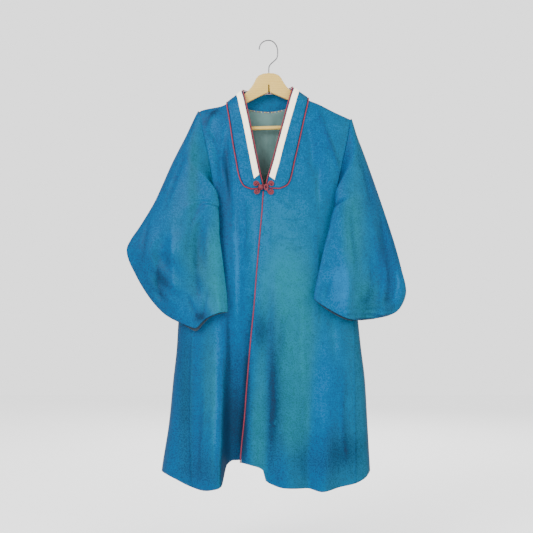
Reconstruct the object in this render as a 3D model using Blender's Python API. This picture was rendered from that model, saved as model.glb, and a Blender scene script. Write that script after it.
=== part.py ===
"""A knee-length satin overcoat with a banded neck and wide sleeves, hanging on a wooden hanger.

Sizes are in millimetres and the model is made in metres. X runs to the viewer's right, Z up and Y to
the back. The hanging point, inside the top of the hook, is the origin. A depth is how far a point
stands in front of the hanger's middle plane, so it is negative at the back.
"""

import math
from collections import namedtuple

import bmesh
import bpy
from mathutils import Vector

MM = 0.001

# Cloth walls, and the clearances between pieces
WALL = 2.0
BAND_WALL = 2.6
STRIP_WALL = 1.0
LINING_WALL = 1.2
SEAM = 0.3
LAYER = 0.4

# Body: side edges, depths and squareness of its plan section at each height
BodyRow = namedtuple("BodyRow", "height left right front back squareness")
BODY = (
    BodyRow(-1180, -280, 263, 68, 64, 2.4),
    BodyRow(-1096, -272, 259, 66, 62, 2.4),
    BodyRow(-966, -253, 252, 63, 57, 2.4),
    BodyRow(-864, -243, 246, 60, 53, 2.4),
    BodyRow(-783, -234, 236, 58, 50, 2.4),
    BodyRow(-717, -230, 229, 56, 48, 2.4),
    BodyRow(-558, -208, 213, 50, 42, 2.4),
    BodyRow(-441, -190, 200, 43, 36, 2.4),
    BodyRow(-345, -186, 205, 36, 31, 2.8),
    BodyRow(-277, -183, 208, 30, 27, 3.2),
    BodyRow(-200, -181, 211, 24, 22, 4.0),
    BodyRow(-120, -181, 212, 20, 18, 4.0),
)

# Shoulder line of the cloth, carried on under the neck band
LineRow = namedtuple("LineRow", "x height")
SHOULDER = (
    LineRow(-181, -184),
    LineRow(-170, -177),
    LineRow(-119, -166),
    LineRow(-103, -158),
    LineRow(-78, -143),
    LineRow(-40, -112),
    LineRow(0, -100),
    LineRow(40, -106),
    LineRow(76, -134),
    LineRow(98, -149),
    LineRow(131, -163),
    LineRow(164, -180),
    LineRow(212, -202),
)
RISE_DEPTH = 170
RISE_POWER = 3.0

# Heights of the underarm and of the level hem that the hem line then bends
UNDERARM = -441
HEM = -1100
HEM_BLEND = 330
HEM_POWER = 1.6

HEM_LEFT = (
    LineRow(-275, -1093),
    LineRow(-236, -1109),
    LineRow(-196, -1125),
    LineRow(-161, -1132),
    LineRow(-135, -1128),
    LineRow(-117, -1121),
    LineRow(-103, -1070),
    LineRow(-87, -1061),
    LineRow(10, -1061),
)
HEM_RIGHT = (
    LineRow(-68, -1064),
    LineRow(-46, -1070),
    LineRow(-15, -1081),
    LineRow(-8, -1108),
    LineRow(10, -1118),
    LineRow(37, -1125),
    LineRow(96, -1127),
    LineRow(134, -1136),
    LineRow(177, -1128),
    LineRow(218, -1121),
    LineRow(245, -1109),
    LineRow(262, -1090),
)
HEM_BACK = (
    LineRow(-275, -1093),
    LineRow(-190, -1102),
    LineRow(-112, -1076),
    LineRow(-10, -1074),
    LineRow(60, -1094),
    LineRow(140, -1102),
    LineRow(210, -1104),
    LineRow(262, -1090),
)

# Folds, each down a slanting line, with its own width on either side of it. One that grows reaches
# its full rise at its foot, one that fades has none at either end, and one that is even has it all along.
Fold = namedtuple("Fold", "top_x top_z foot_x foot_z left_width right_width rise kind")
GROWS, FADES, EVEN = "grows", "fades", "even"
FOLDS_LEFT = (
    Fold(-110, -500, -124, -1130, 60, 16, 40, GROWS),
    Fold(-78, -400, -80, -820, 18, 20, 7, FADES),
    Fold(-30, -560, -30, -1130, 90, 80, -24, GROWS),
    Fold(-150, -200, -92, -430, 12, 12, -5, FADES),
)
FOLDS_RIGHT = (
    Fold(-12, -290, -66, -1130, 50, 70, 5, EVEN),
    Fold(46, -520, 54, -1130, 44, 56, 24, GROWS),
    Fold(150, -560, 140, -1130, 30, 28, 16, GROWS),
    Fold(0, -560, -6, -900, 16, 14, -6, FADES),
    Fold(96, -220, 150, -440, 16, 20, -4, FADES),
    Fold(100, -620, 98, -1130, 14, 14, -4, GROWS),
)
FOLDS_BACK = (
    Fold(-120, -420, -176, -1130, 30, 34, 16, GROWS),
    Fold(-40, -520, -66, -1130, 30, 26, 14, GROWS),
    Fold(52, -460, 48, -1130, 26, 34, 17, GROWS),
    Fold(122, -400, 158, -1130, 32, 28, 15, GROWS),
    Fold(4, -600, -8, -1130, 18, 22, -9, GROWS),
)
EVEN_START = 0.1
GROWTH = 1.15
FOLD_REACH = 1.6

# Front edges, gore seams and centre back seam
EdgeRow = namedtuple("EdgeRow", "height x")
FRONT_EDGE_RIGHT = (
    EdgeRow(-1140, -71),
    EdgeRow(-1055, -66),
    EdgeRow(-961, -58),
    EdgeRow(-884, -53),
    EdgeRow(-759, -43),
    EdgeRow(-679, -35),
    EdgeRow(-564, -26),
    EdgeRow(-441, -15),
)
FRONT_EDGE_LEFT = (EdgeRow(-1140, 4), EdgeRow(-679, 2), EdgeRow(-441, -1))
GORE_SEAM_LEFT = (
    EdgeRow(-1140, -190),
    EdgeRow(-930, -197),
    EdgeRow(-717, -193),
    EdgeRow(-558, -188),
    EdgeRow(-441, -178),
)
GORE_SEAM_RIGHT = (
    EdgeRow(-1140, 220),
    EdgeRow(-717, 216),
    EdgeRow(-558, 203),
    EdgeRow(-441, 190),
)
CENTRE_BACK = (EdgeRow(-1140, -2), EdgeRow(-441, 6))

# Upper part of each front: its edge under the neck band and its armhole, row by row
YokeRow = namedtuple("YokeRow", "neck_x neck_z arm_x arm_z")
YOKE_RIGHT = (
    YokeRow(91, -144.5, 211, -201.5),
    YokeRow(82, -200, 201, -245),
    YokeRow(70, -258, 189, -300),
    YokeRow(56, -322, 178, -352),
    YokeRow(41, -363, 171, -390),
    YokeRow(15, -368, 172, -414),
    YokeRow(-8, -371, 179, -431),
    YokeRow(-15, -441, 190, -441),
)
YOKE_LEFT = (
    YokeRow(-95, -153, -180.5, -184),
    YokeRow(-89, -203, -168, -226),
    YokeRow(-80, -260, -156, -278),
    YokeRow(-70, -324, -145, -334),
    YokeRow(-58, -362, -137, -385),
    YokeRow(-36, -368, -141, -412),
    YokeRow(-11, -371, -156, -431),
    YokeRow(-1, -441, -178, -441),
)

# Upper part of each half of the back: its armhole, and its neckline
ARM_BACK_RIGHT = (
    EdgeRow(-441, 190),
    EdgeRow(-390, 184),
    EdgeRow(-336, 188),
    EdgeRow(-277, 197),
    EdgeRow(-202, 211),
)
ARM_BACK_LEFT = (
    EdgeRow(-441, -178),
    EdgeRow(-390, -162),
    EdgeRow(-336, -162),
    EdgeRow(-277, -168),
    EdgeRow(-184, -180.5),
)
NECKLINE = (
    LineRow(-95, -153),
    LineRow(-60, -170),
    LineRow(0, -178),
    LineRow(55, -168),
    LineRow(91, -144.5),
)
BACK_YOKE_ROWS = 7

# Sleeves: the outer and inner edge of each section, how far its two walls stand off the line between
# them, and how far they bow in towards the body. The first section of all is the armhole itself.
SleeveRow = namedtuple(
    "SleeveRow",
    "outer_x outer_z outer_depth inner_x inner_z inner_depth front back front_bow back_bow",
)
SLEEVE_LEFT = (
    SleeveRow(-210, -242, 3, -198, -448, 19, 34, 12, 72, 14),
    SleeveRow(-248, -318, 8, -160, -453, 31, 31, 12, 56, 4),
    SleeveRow(-289, -410, 12, -126, -447, 51, 24, 12, 14, 0),
    SleeveRow(-330, -478, 14, -122, -496, 56, 20, 14, 0, 0),
    SleeveRow(-360, -531, 16, -116, -542, 60, 20, 15, 0, 0),
    SleeveRow(-341, -588, 20, -110, -588, 64, 20, 14, 0, 0),
    SleeveRow(-303, -651, 30, -105, -630, 67, 18, 12, 0, 0),
    SleeveRow(-263, -694, 42, -102, -664, 70, 16, 9, 0, 0),
    SleeveRow(-227, -714, 52, -101, -688, 72, 14, 7, 0, 0),
)
SLEEVE_RIGHT = (
    SleeveRow(225, -240, 3, 206, -449, 12, 32, 12, -44, -12),
    SleeveRow(250, -308, 8, 191, -457, 28, 30, 12, -40, -4),
    SleeveRow(277, -385, 10, 163, -443, 50, 24, 12, -12, 0),
    SleeveRow(301, -456, 11, 150, -484, 55, 20, 14, 0, 0),
    SleeveRow(322, -522, 12, 138, -530, 59, 20, 15, 0, 0),
    SleeveRow(340, -590, 14, 128, -575, 63, 20, 15, 0, 0),
    SleeveRow(349, -642, 18, 120, -610, 66, 20, 14, 0, 0),
    SleeveRow(325, -688, 30, 115, -634, 69, 18, 12, 0, 0),
    SleeveRow(274, -705, 46, 113, -646, 71, 16, 9, 0, 0),
    SleeveRow(222, -710, 58, 112, -655, 72, 14, 7, 0, 0),
)
CuffRow = namedtuple("CuffRow", "across front_drop back_drop")
CUFF_LEFT = (
    CuffRow(0.0, 0, 0),
    CuffRow(0.18, 13, 18),
    CuffRow(0.34, 22, 31),
    CuffRow(0.43, 25, 34),
    CuffRow(0.52, 7, 16),
    CuffRow(0.67, 1, 5),
    CuffRow(0.83, -3, 1),
    CuffRow(1.0, 0, 1),
)
CUFF_RIGHT = (
    CuffRow(0.0, 0, 0),
    CuffRow(0.2, 6, 11),
    CuffRow(0.4, 8, 14),
    CuffRow(0.6, 7, 13),
    CuffRow(0.8, 5, 9),
    CuffRow(1.0, 0, 1),
)
FOLDS_SLEEVE_LEFT = (
    Fold(-262, -470, -276, -680, 11, 11, -9, FADES),
    Fold(-238, -430, -244, -690, 12, 12, 6, FADES),
    Fold(-176, -330, -184, -690, 11, 14, -9, FADES),
    Fold(-128, -400, -128, -720, 16, 18, 6, GROWS),
)
FOLDS_SLEEVE_RIGHT = (
    Fold(178, -330, 196, -720, 16, 16, 6, GROWS),
    Fold(222, -330, 252, -720, 16, 16, -8, GROWS),
    Fold(262, -400, 290, -710, 12, 12, 7, GROWS),
    Fold(278, -440, 312, -690, 9, 9, -8, FADES),
)
SLEEVE_CLEARANCE = 1.5
SLEEVE_RIDGE = 2.4
UNDERARM_GAP = 4.5
UNDERARM_OUT = 2.5
EDGE_MARGIN = 2.0
CORNER_GAP = 6.5
SEAM_OUT = 6.0
SEAM_RISE = 2.5
SLEEVE_SEAM = 0.9
SEAM_WALL = 1.0
WALL_ROWS = 6
NORMAL_PASSES = 2
SETTLE_ROWS = 4
BOW_SKEW = 2.3
PLUMPNESS = 0.62

# Neck band: its neck edge and its sewn edge at each station, from one front end round to the other.
# An edge with no depth of its own lies on the cloth below it, at the front or at the back.
BandRow = namedtuple("BandRow", "neck_x neck_z neck_depth sewn_x sewn_z sewn_depth side")
LEFT, BACK, RIGHT = "left", "back", "right"
BAND = (
    BandRow(-15, -376, None, -44, -378, None, LEFT),
    BandRow(-17, -362, None, -62, -369, None, LEFT),
    BandRow(-22, -342, None, -73, -345, None, LEFT),
    BandRow(-29, -308, None, -80, -308, None, LEFT),
    BandRow(-37, -268, None, -88, -264, None, LEFT),
    BandRow(-50, -203, None, -98, -198, None, LEFT),
    BandRow(-61, -150, 15, -103, -170, None, LEFT),
    BandRow(-66, -129, 3, -103, -156, 0, LEFT),
    BandRow(-60, -128, -10, -92, -168, None, BACK),
    BandRow(-34, -131, -19, -54, -183, None, BACK),
    BandRow(0, -133, -22, 0, -189, None, BACK),
    BandRow(34, -128, -19, 52, -180, None, BACK),
    BandRow(56, -121, -10, 88, -161, None, BACK),
    BandRow(62, -121, 3, 99, -145.5, 0, RIGHT),
    BandRow(55, -146, 15, 97, -163, None, RIGHT),
    BandRow(41, -198, None, 89, -198, None, RIGHT),
    BandRow(21, -273, None, 73, -270, None, RIGHT),
    BandRow(12, -308, None, 64, -308, None, RIGHT),
    BandRow(2, -342, None, 56, -345, None, RIGHT),
    BandRow(-3, -362, None, 47, -367, None, RIGHT),
    BandRow(-5, -376, None, 28, -377, None, RIGHT),
)
BAND_MIDDLE = 10
NECK_ZONE = -175
NECK_LAYER = 1.6
STRIP_WIDTH = 15.0
STRIP_SET_BACK = 1.9
STRIP_GAP = 0.5
STRIP_START = 1.8
STRIP_END = 18.2
PIPING_RADIUS = 1.5
PIPING_START = 0.3

# The part of the back's lining that shows
LINING_LEFT = -72
LINING_RIGHT = 70
LINING_FOOT = -455
LINING_DROP = 3
LINING_GAP = 1.2

# Corded closure at the foot of the neck band
LobeRow = namedtuple("LobeRow", "name x height side lift")
FROG_LOBES = (
    LobeRow("frog_left_upper_lobe", -33, -367, LEFT, 3.4),
    LobeRow("frog_left_lower_lobe", -31, -386, LEFT, 3.0),
    LobeRow("frog_right_upper_lobe", 9, -367, RIGHT, 3.8),
    LobeRow("frog_right_lower_lobe", 8, -386, RIGHT, 2.8),
)
LOBE_RADIUS = 5.4
FROG_CORD_RADIUS = 2.3
KNOT_X = -19.5
KNOT_HEIGHT = -376.0
KNOT_RADIUS = 6.2
LOOP_X = -5.0
LOOP_HALF_WIDTH = 3.8
LOOP_HALF_HEIGHT = 5.0
KNOT_LIFT = 3.1
LOOP_LIFT = 2.9

# Wooden hanger: half of its outline, from the middle of its top round to the slot below
HANGER_HALF_THICKNESS = 5.5
HANGER_EDGE_ROUND = 1.5
HANGER_TILT = math.radians(1.5)
HANGER_OUTLINE = (
    (0, -82),
    (13, -83),
    (25, -87.5),
    (32, -95),
    (37.5, -106),
    (45, -117.5),
    (56, -128.5),
    (76, -145),
    (102, -164),
    (131, -176),
    (156, -190),
    (167, -196.5),
    (172, -200),
    (173, -214),
    (171, -227),
    (163, -231),
    (150, -231),
    (150, -213),
    (128, -196),
    (98, -178),
    (56, -156),
    (24, -141),
    (3.5, -132),
    (1.4, -129),
    (1.2, -112),
)
BAR_HEIGHT = -221.5
BAR_RADIUS = 5.0
BAR_HALF_LENGTH = 149.7
PIVOT_HEIGHT = -82

# Steel hook
HOOK_RADIUS = 1.5
HOOK_ROUTE = (
    (0.6, -81.7),
    (0.8, -74),
    (1.4, -66),
    (5, -59.5),
    (12, -53),
    (19, -46.5),
    (22.3, -40),
    (23.3, -31),
    (22.8, -21),
    (19.6, -11),
    (13.2, -3),
    (4.5, 1.3),
    (-4.5, 1.3),
    (-12.6, -1.5),
    (-19, -7),
    (-22.6, -14),
    (-23.6, -20.5),
)

# How finely each piece is divided
HOOK_STEPS = 2
YOKE_DOWNS = (0, 0.12, 0.5, 1, 2, 3, 4, 5, 6, 7)
SKIRT_LEVELS = 12
FRONT_COLUMNS = 18
BACK_COLUMNS = 11
GORE_COLUMNS = 6
SLEEVE_STEPS = 2
BAND_STEPS = 2
BAND_COLUMNS = 4
LINING_COLUMNS = 8
LINING_ROWS = 7
NUDGE = 0.002
NUDGE_DOWN = 0.04

Finish = namedtuple("Finish", "name colour roughness metallic")
COAT = Finish("blue_satin", (0.012, 0.2, 0.38, 1), 0.42, 0.0)
LINING = Finish("green_lining", (0.08, 0.17, 0.15, 1), 0.5, 0.0)
STRIP = Finish("cream_strip", (0.93, 0.86, 0.68, 1), 0.7, 0.0)
PIPING = Finish("crimson_piping", (0.36, 0.02, 0.07, 1), 0.6, 0.0)
FROG = Finish("crimson_cord", (0.6, 0.015, 0.06, 1), 0.55, 0.0)
WOOD = Finish("pale_wood", (0.72, 0.58, 0.28, 1), 0.5, 0.0)
STEEL = Finish("hook_steel", (0.5, 0.5, 0.5, 1), 0.3, 1.0)


def clamp(value, low, high):
    return max(low, min(high, value))


def curve_at(xs, ys, x):
    """A smooth curve through the points that never swings past them, with xs rising."""
    if x <= xs[0]:
        return ys[0]
    if x >= xs[-1]:
        return ys[-1]
    k = max(i for i in range(len(xs) - 1) if xs[i] <= x)

    def slope(i):
        return (ys[i + 1] - ys[i]) / (xs[i + 1] - xs[i])

    def tangent(i):
        if i == 0:
            return slope(0)
        if i == len(xs) - 1:
            return slope(i - 1)
        before, after = slope(i - 1), slope(i)
        return 0.0 if before * after <= 0 else 2 * before * after / (before + after)

    span = xs[k + 1] - xs[k]
    t = (x - xs[k]) / span
    start = (2 * t**3 - 3 * t**2 + 1) * ys[k] + (t**3 - 2 * t**2 + t) * span * tangent(k)
    end = (3 * t**2 - 2 * t**3) * ys[k + 1] + (t**3 - t**2) * span * tangent(k + 1)
    return start + end


def read(rows, name, key, at):
    """A named column of a table, read smoothly at a value of its key column."""
    return curve_at([getattr(r, key) for r in rows], [getattr(r, name) for r in rows], at)


def through(points, position):
    """A point on the smooth path through points: position 1.5 is halfway from point 1 to point 2."""
    last = len(points) - 1
    k = int(clamp(math.floor(position), 0, last - 1))
    t = position - k
    b, c = points[k], points[k + 1]
    a = points[k - 1] if k > 0 else 2 * b - c
    d = points[k + 2] if k < last - 1 else 2 * c - b
    curve = (c - a) * t + (2 * a - 5 * b + 4 * c - d) * t**2 + (3 * b - a - 3 * c + d) * t**3
    return b + 0.5 * curve


def relief(folds, x, z):
    """How far the folds carry the cloth outwards at this place."""
    total = 0.0
    for fold in folds:
        along = (z - fold.top_z) / (fold.foot_z - fold.top_z)
        if along <= 0 or (along >= 1 and fold.kind == FADES):
            continue
        centre = fold.top_x + (fold.foot_x - fold.top_x) * along
        width = fold.left_width if x < centre else fold.right_width
        if fold.kind == FADES:
            strength = math.sin(math.pi * along)
        elif fold.kind == GROWS:
            strength = min(along, 1.0) ** GROWTH
        else:
            strength = min(along / EVEN_START, 1.0)
        total += fold.rise * strength * math.exp(-(((x - centre) / width) ** 2))
    return total


def body_size(z):
    """Middle, half width, front depth, back depth and squareness of the body's plan section."""
    left, right, front, back, squareness = (read(BODY, n, "height", z) for n in BodyRow._fields[1:])
    return (left + right) / 2, (right - left) / 2, front, back, squareness


def folds_of(side, front):
    if not front:
        return FOLDS_BACK
    return FOLDS_LEFT if side == LEFT else FOLDS_RIGHT


def body_depth(x, z, side, front):
    """Depth of the outer face of the body at a place seen from the front."""
    middle, half, front_depth, back_depth, squareness = body_size(z)
    across = min(abs(x - middle) / half, 1.0)
    bulge = (1 - across**squareness) ** (1 / squareness)
    drop = clamp((read(SHOULDER, "height", "x", x) - z) / RISE_DEPTH, 0.0, 1.0)
    rise = (1 - (1 - drop) ** RISE_POWER) ** (1 / RISE_POWER)
    depth = (front_depth if front else back_depth) * bulge * rise
    depth += relief(folds_of(side, front), x, z) * min(1.0, bulge * FOLD_REACH)
    return depth if front else -depth


def body_point(x, z, side, front):
    return Vector((x, -body_depth(x, z, side, front), z))


def x_at_angle(angle, z):
    """Where a ray at this angle meets the plan section: 0 is the right side edge, pi the left one."""
    middle, half, _, _, squareness = body_size(z)
    cosine = math.cos(angle)
    return middle + half * math.copysign(abs(cosine) ** (2 / squareness), cosine)


def angle_at_x(x, z, front):
    middle, half, _, _, squareness = body_size(z)
    across = clamp((x - middle) / half, -1.0, 1.0)
    angle = math.acos(math.copysign(abs(across) ** (squareness / 2), across))
    return angle if front else -angle


def with_hem(point, side, front):
    """The point moved down or up so that the last level follows the hem line."""
    hem = {True: HEM_LEFT if side == LEFT else HEM_RIGHT, False: HEM_BACK}[front]
    blend = clamp((HEM + HEM_BLEND - point.z) / HEM_BLEND, 0.0, 1.0) ** HEM_POWER
    return point + Vector((0, 0, (read(hem, "height", "x", point.x) - HEM) * blend))


def skirt_surface(side, first_edge, first_front, last_edge, last_front):
    """The body below the underarm between two edges. Down runs from 0 there to 1 at the hem."""
    def surface(across, down):
        z = UNDERARM + (HEM - UNDERARM) * down
        first = angle_at_x(read(first_edge, "x", "height", z), z, first_front)
        last = angle_at_x(read(last_edge, "x", "height", z), z, last_front)
        if first_front != last_front and side == LEFT:
            last += 2 * math.pi if not last_front else 0.0
        angle = first + (last - first) * across
        x = x_at_angle(angle, z)
        front = math.sin(angle) >= 0
        return with_hem(body_point(x, z, side, front), side, front)
    return surface


def front_surface(side, yoke, edge, gore_seam):
    """A whole front: down runs over the rows of its yoke, and then over the levels of the skirt."""
    skirt = skirt_surface(side, edge, True, gore_seam, True)
    last_row = len(yoke) - 1
    necks = [Vector((r.neck_x, r.neck_z)) for r in yoke]
    arms = [Vector((r.arm_x, r.arm_z)) for r in yoke]

    def surface(across, down):
        if down > last_row:
            return skirt(across, (down - last_row) / SKIRT_LEVELS)
        neck_x, neck_z = through(necks, down)
        arm_x, arm_z = through(arms, down)
        first = angle_at_x(neck_x, neck_z, True)
        last = angle_at_x(arm_x, arm_z, True)
        x = x_at_angle(first + (last - first) * across, neck_z + (arm_z - neck_z) * across)
        share = (x - neck_x) / (arm_x - neck_x)
        z = neck_z + (arm_z - neck_z) * share
        z += (read(SHOULDER, "height", "x", x) - z) * max(0.0, 1 - down)
        return body_point(x, z, side, True)
    return surface


def back_surface(side, arm, gore_seam):
    """Half of the back: down runs over the rows above the underarm, and then over the skirt."""
    skirt = skirt_surface(side, CENTRE_BACK, False, gore_seam, False)

    def surface(across, down):
        if down > BACK_YOKE_ROWS:
            return skirt(across, (down - BACK_YOKE_ROWS) / SKIRT_LEVELS)
        share = down / BACK_YOKE_ROWS
        arm_z = arm[-1].height + (UNDERARM - arm[-1].height) * share
        arm_x = read(arm, "x", "height", arm_z)
        middle_x = CENTRE_BACK[-1].x
        first = angle_at_x(middle_x, UNDERARM, False)
        last = angle_at_x(arm_x, arm_z, False)
        x = x_at_angle(first + (last - first) * across, UNDERARM + (arm_z - UNDERARM) * across)
        edge = NECKLINE if NECKLINE[0].x < x < NECKLINE[-1].x else SHOULDER
        top = read(edge, "height", "x", x)
        return body_point(x, top + (UNDERARM - top) * share, side, False)
    return surface


def body_normal(surface, across, down):
    """Outward normal of a surface of the body, from its neighbours a nudge away."""
    here = surface(across, down)
    sideways = surface(across + NUDGE, down) - surface(across - NUDGE, down)
    above, below = surface(across, max(down - NUDGE_DOWN, 0.0)), surface(across, down + NUDGE_DOWN)
    normal = sideways.cross(below - above)
    if here.y == 0:
        normal.y = 0
    normal.normalize()
    outward = Vector((here.x - body_size(here.z)[0], here.y * 4, 40))
    return normal if normal.dot(outward) > 0 else -normal


def drawn_in(rows, sides=SEAM / 2, top=0.0):
    """The grid with its outermost columns, and its top row, moved in to leave the gap of a seam."""
    for row in rows:
        first, last = (row[1] - row[0]).normalized(), (row[-2] - row[-1]).normalized()
        row[0], row[-1] = row[0] + first * sides, row[-1] + last * sides
    if top:
        rows[0] = [p + (q - p).normalized() * top for p, q in zip(rows[0], rows[1])]
    return rows


def closed_mesh(outer, inner, wraps=False):
    """A wall between two grids of points in millimetres. With wraps, the columns run right round."""
    mesh = bmesh.new()
    faces = [[[mesh.verts.new(p * MM) for p in row] for row in grid] for grid in (outer, inner)]
    rows, columns = len(outer), len(outer[0])
    pairs = [(j, (j + 1) % columns) for j in range(columns if wraps else columns - 1)]
    for front in faces:
        for above, below in zip(front, front[1:]):
            for j, k in pairs:
                mesh.faces.new((above[j], above[k], below[k], below[j]))
    face, back = faces
    for i in (0, rows - 1):
        for j, k in pairs:
            mesh.faces.new((face[i][j], face[i][k], back[i][k], back[i][j]))
    if not wraps:
        for j in (0, columns - 1):
            for i in range(rows - 1):
                mesh.faces.new((face[i][j], face[i + 1][j], back[i + 1][j], back[i][j]))
    bmesh.ops.recalc_face_normals(mesh, faces=mesh.faces)
    return mesh


def material(finish):
    """The Principled material of a finish, made the first time it is asked for."""
    found = bpy.data.materials.get(finish.name)
    if found:
        return found
    made = bpy.data.materials.new(finish.name)
    made.use_nodes = True
    made.diffuse_color = finish.colour
    shader = made.node_tree.nodes["Principled BSDF"]
    shader.inputs["Base Color"].default_value = finish.colour
    shader.inputs["Roughness"].default_value = finish.roughness
    shader.inputs["Metallic"].default_value = finish.metallic
    return made


def add_object(name, data, finish):
    made = bpy.data.objects.new(name, data)
    data.materials.append(material(finish))
    bpy.data.collections[COLLECTION].objects.link(made)
    return made


def add_mesh(name, mesh, finish):
    data = bpy.data.meshes.new(name)
    mesh.to_mesh(data)
    mesh.free()
    data.shade_smooth()
    data.set_sharp_from_angle(angle=math.radians(40))
    return add_object(name, data, finish)


def add_tube(name, points, radius, finish, closed=False, resolution=2):
    """A round cord or wire along points in millimetres, with filled ends."""
    data = bpy.data.curves.new(name, "CURVE")
    data.dimensions = "3D"
    data.bevel_depth = radius * MM
    data.bevel_resolution = resolution
    data.use_fill_caps = not closed
    spline = data.splines.new("POLY")
    spline.points.add(len(points) - 1)
    for point, place in zip(spline.points, points):
        point.co = (*(place * MM), 1.0)
    spline.use_cyclic_u = closed
    spline.use_smooth = True
    return add_object(name, data, finish)


def add_panel(name, surface, columns, downs, top_seam=0.0):
    """A flat-cut cloth panel on a surface of the body, with its wall inside it."""
    places = [[(j / columns, down) for j in range(columns + 1)] for down in downs]
    outer = [[surface(*place) for place in row] for row in places]
    normals = [[body_normal(surface, *place) for place in row] for row in places]
    drawn_in(outer, top=top_seam)
    inner = [[p - n * WALL for p, n in zip(*pair)] for pair in zip(outer, normals)]
    return add_mesh(name, closed_mesh(outer, inner), COAT)


def add_body():
    fronts = (
        ("front_left", LEFT, YOKE_LEFT, FRONT_EDGE_LEFT, GORE_SEAM_LEFT),
        ("front_right", RIGHT, YOKE_RIGHT, FRONT_EDGE_RIGHT, GORE_SEAM_RIGHT),
    )
    for name, side, yoke, edge, gore_seam in fronts:
        surface = front_surface(side, yoke, edge, gore_seam)
        downs = [*YOKE_DOWNS, *range(len(yoke), len(yoke) + SKIRT_LEVELS)]
        add_panel(name, surface, FRONT_COLUMNS, downs, SEAM / 2)
    backs = (
        ("back_left", LEFT, ARM_BACK_LEFT, GORE_SEAM_LEFT),
        ("back_right", RIGHT, ARM_BACK_RIGHT, GORE_SEAM_RIGHT),
    )
    for name, side, arm, gore_seam in backs:
        surface = back_surface(side, arm, gore_seam)
        downs = [*YOKE_DOWNS, *range(BACK_YOKE_ROWS + 1, BACK_YOKE_ROWS + SKIRT_LEVELS + 1)]
        add_panel(name, surface, BACK_COLUMNS, downs, SEAM / 2)
    for name, side, seam in (("gore_left", LEFT, GORE_SEAM_LEFT), ("gore_right", RIGHT, GORE_SEAM_RIGHT)):
        surface = skirt_surface(side, seam, True, seam, False)
        levels = [level / SKIRT_LEVELS for level in range(SKIRT_LEVELS + 1)]
        add_panel(name, surface, GORE_COLUMNS, levels)


def armhole(side):
    """The armhole's points, down the front and up the back, their normals and the ways out of the panels."""
    first, last, arm, seam = {
        LEFT: (YOKE_LEFT, FRONT_EDGE_LEFT, ARM_BACK_LEFT, GORE_SEAM_LEFT),
        RIGHT: (YOKE_RIGHT, FRONT_EDGE_RIGHT, ARM_BACK_RIGHT, GORE_SEAM_RIGHT),
    }[side]
    front = front_surface(side, first, last, seam)
    gore = skirt_surface(side, seam, True, seam, False)
    back = back_surface(side, arm, seam)
    places = [(front, 1.0, down) for down in YOKE_DOWNS]
    places += [(gore, j / GORE_COLUMNS, 0.0) for j in range(1, GORE_COLUMNS)]
    places += [(back, 1.0, down) for down in YOKE_DOWNS[:0:-1]]
    points = [surface(across, down) for surface, across, down in places]
    normals = [body_normal(*place) for place in places]
    turn = 1 if side == LEFT else -1
    neighbours = zip(points[1:] + points[:1], points[-1:] + points[:-1])
    ways = [(b - a).cross(n).normalized() * turn for (b, a), n in zip(neighbours, normals)]
    return points, normals, ways


def section_point(row, share, front):
    """A point of a sleeve section, a share of the way from its outer to its inner edge."""
    outer = Vector((row.outer_x, -row.outer_depth, row.outer_z))
    inner = Vector((row.inner_x, -row.inner_depth, row.inner_z))
    point = outer.lerp(inner, share)
    bow = math.sin(math.pi * share**BOW_SKEW)
    off = math.sin(math.pi * share) ** PLUMPNESS if 0 < share < 1 else 0.0
    point.x += (row.front_bow if front else row.back_bow) * bow
    point.y += (-row.front if front else row.back) * off
    return point


def clear_of_body(point, side, gap):
    """Moves a point of a sleeve forwards, this far clear of the front of the body behind it."""
    middle, half = body_size(point.z)[:2]
    reach = half + EDGE_MARGIN
    if point.z > UNDERARM:
        yoke = YOKE_LEFT if side == LEFT else YOKE_RIGHT
        reach = abs(read(yoke[::-1], "arm_x", "arm_z", point.z) - middle)
    if abs(point.x - middle) < reach:
        point.y = min(point.y, -body_depth(point.x, point.z, side, True) - WALL - gap)


def clear_of_gore(point):
    """Moves a point of a sleeve's underarm outwards, clear of the gore beside it."""
    middle, half = body_size(point.z)[:2]
    reach = half + UNDERARM_GAP
    if point.z < UNDERARM and abs(point.x - middle) < reach:
        point.x = middle + math.copysign(reach, point.x)


def length_shares(points):
    """How far along a path each of its points lies, from 0 to 1."""
    lengths = [0.0]
    for a, b in zip(points, points[1:]):
        lengths.append(lengths[-1] + (b - a).length)
    return [length / lengths[-1] for length in lengths]


def sleeve_places(seam, settled):
    """Share and side of each column: those of the armhole's points at first, and even once settled."""
    half = len(seam) // 2
    even = [(1 - math.cos(math.pi * i / half)) / 2 for i in range(half + 1)]
    over = length_shares(seam[: half + 1])
    under = length_shares([seam[0], *seam[:half - 1:-1]])
    front, back = ([a + (b - a) * settled for a, b in zip(own, even)] for own in (over, under))
    return [(share, True) for share in front] + [(share, False) for share in back[-2:0:-1]]


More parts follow.
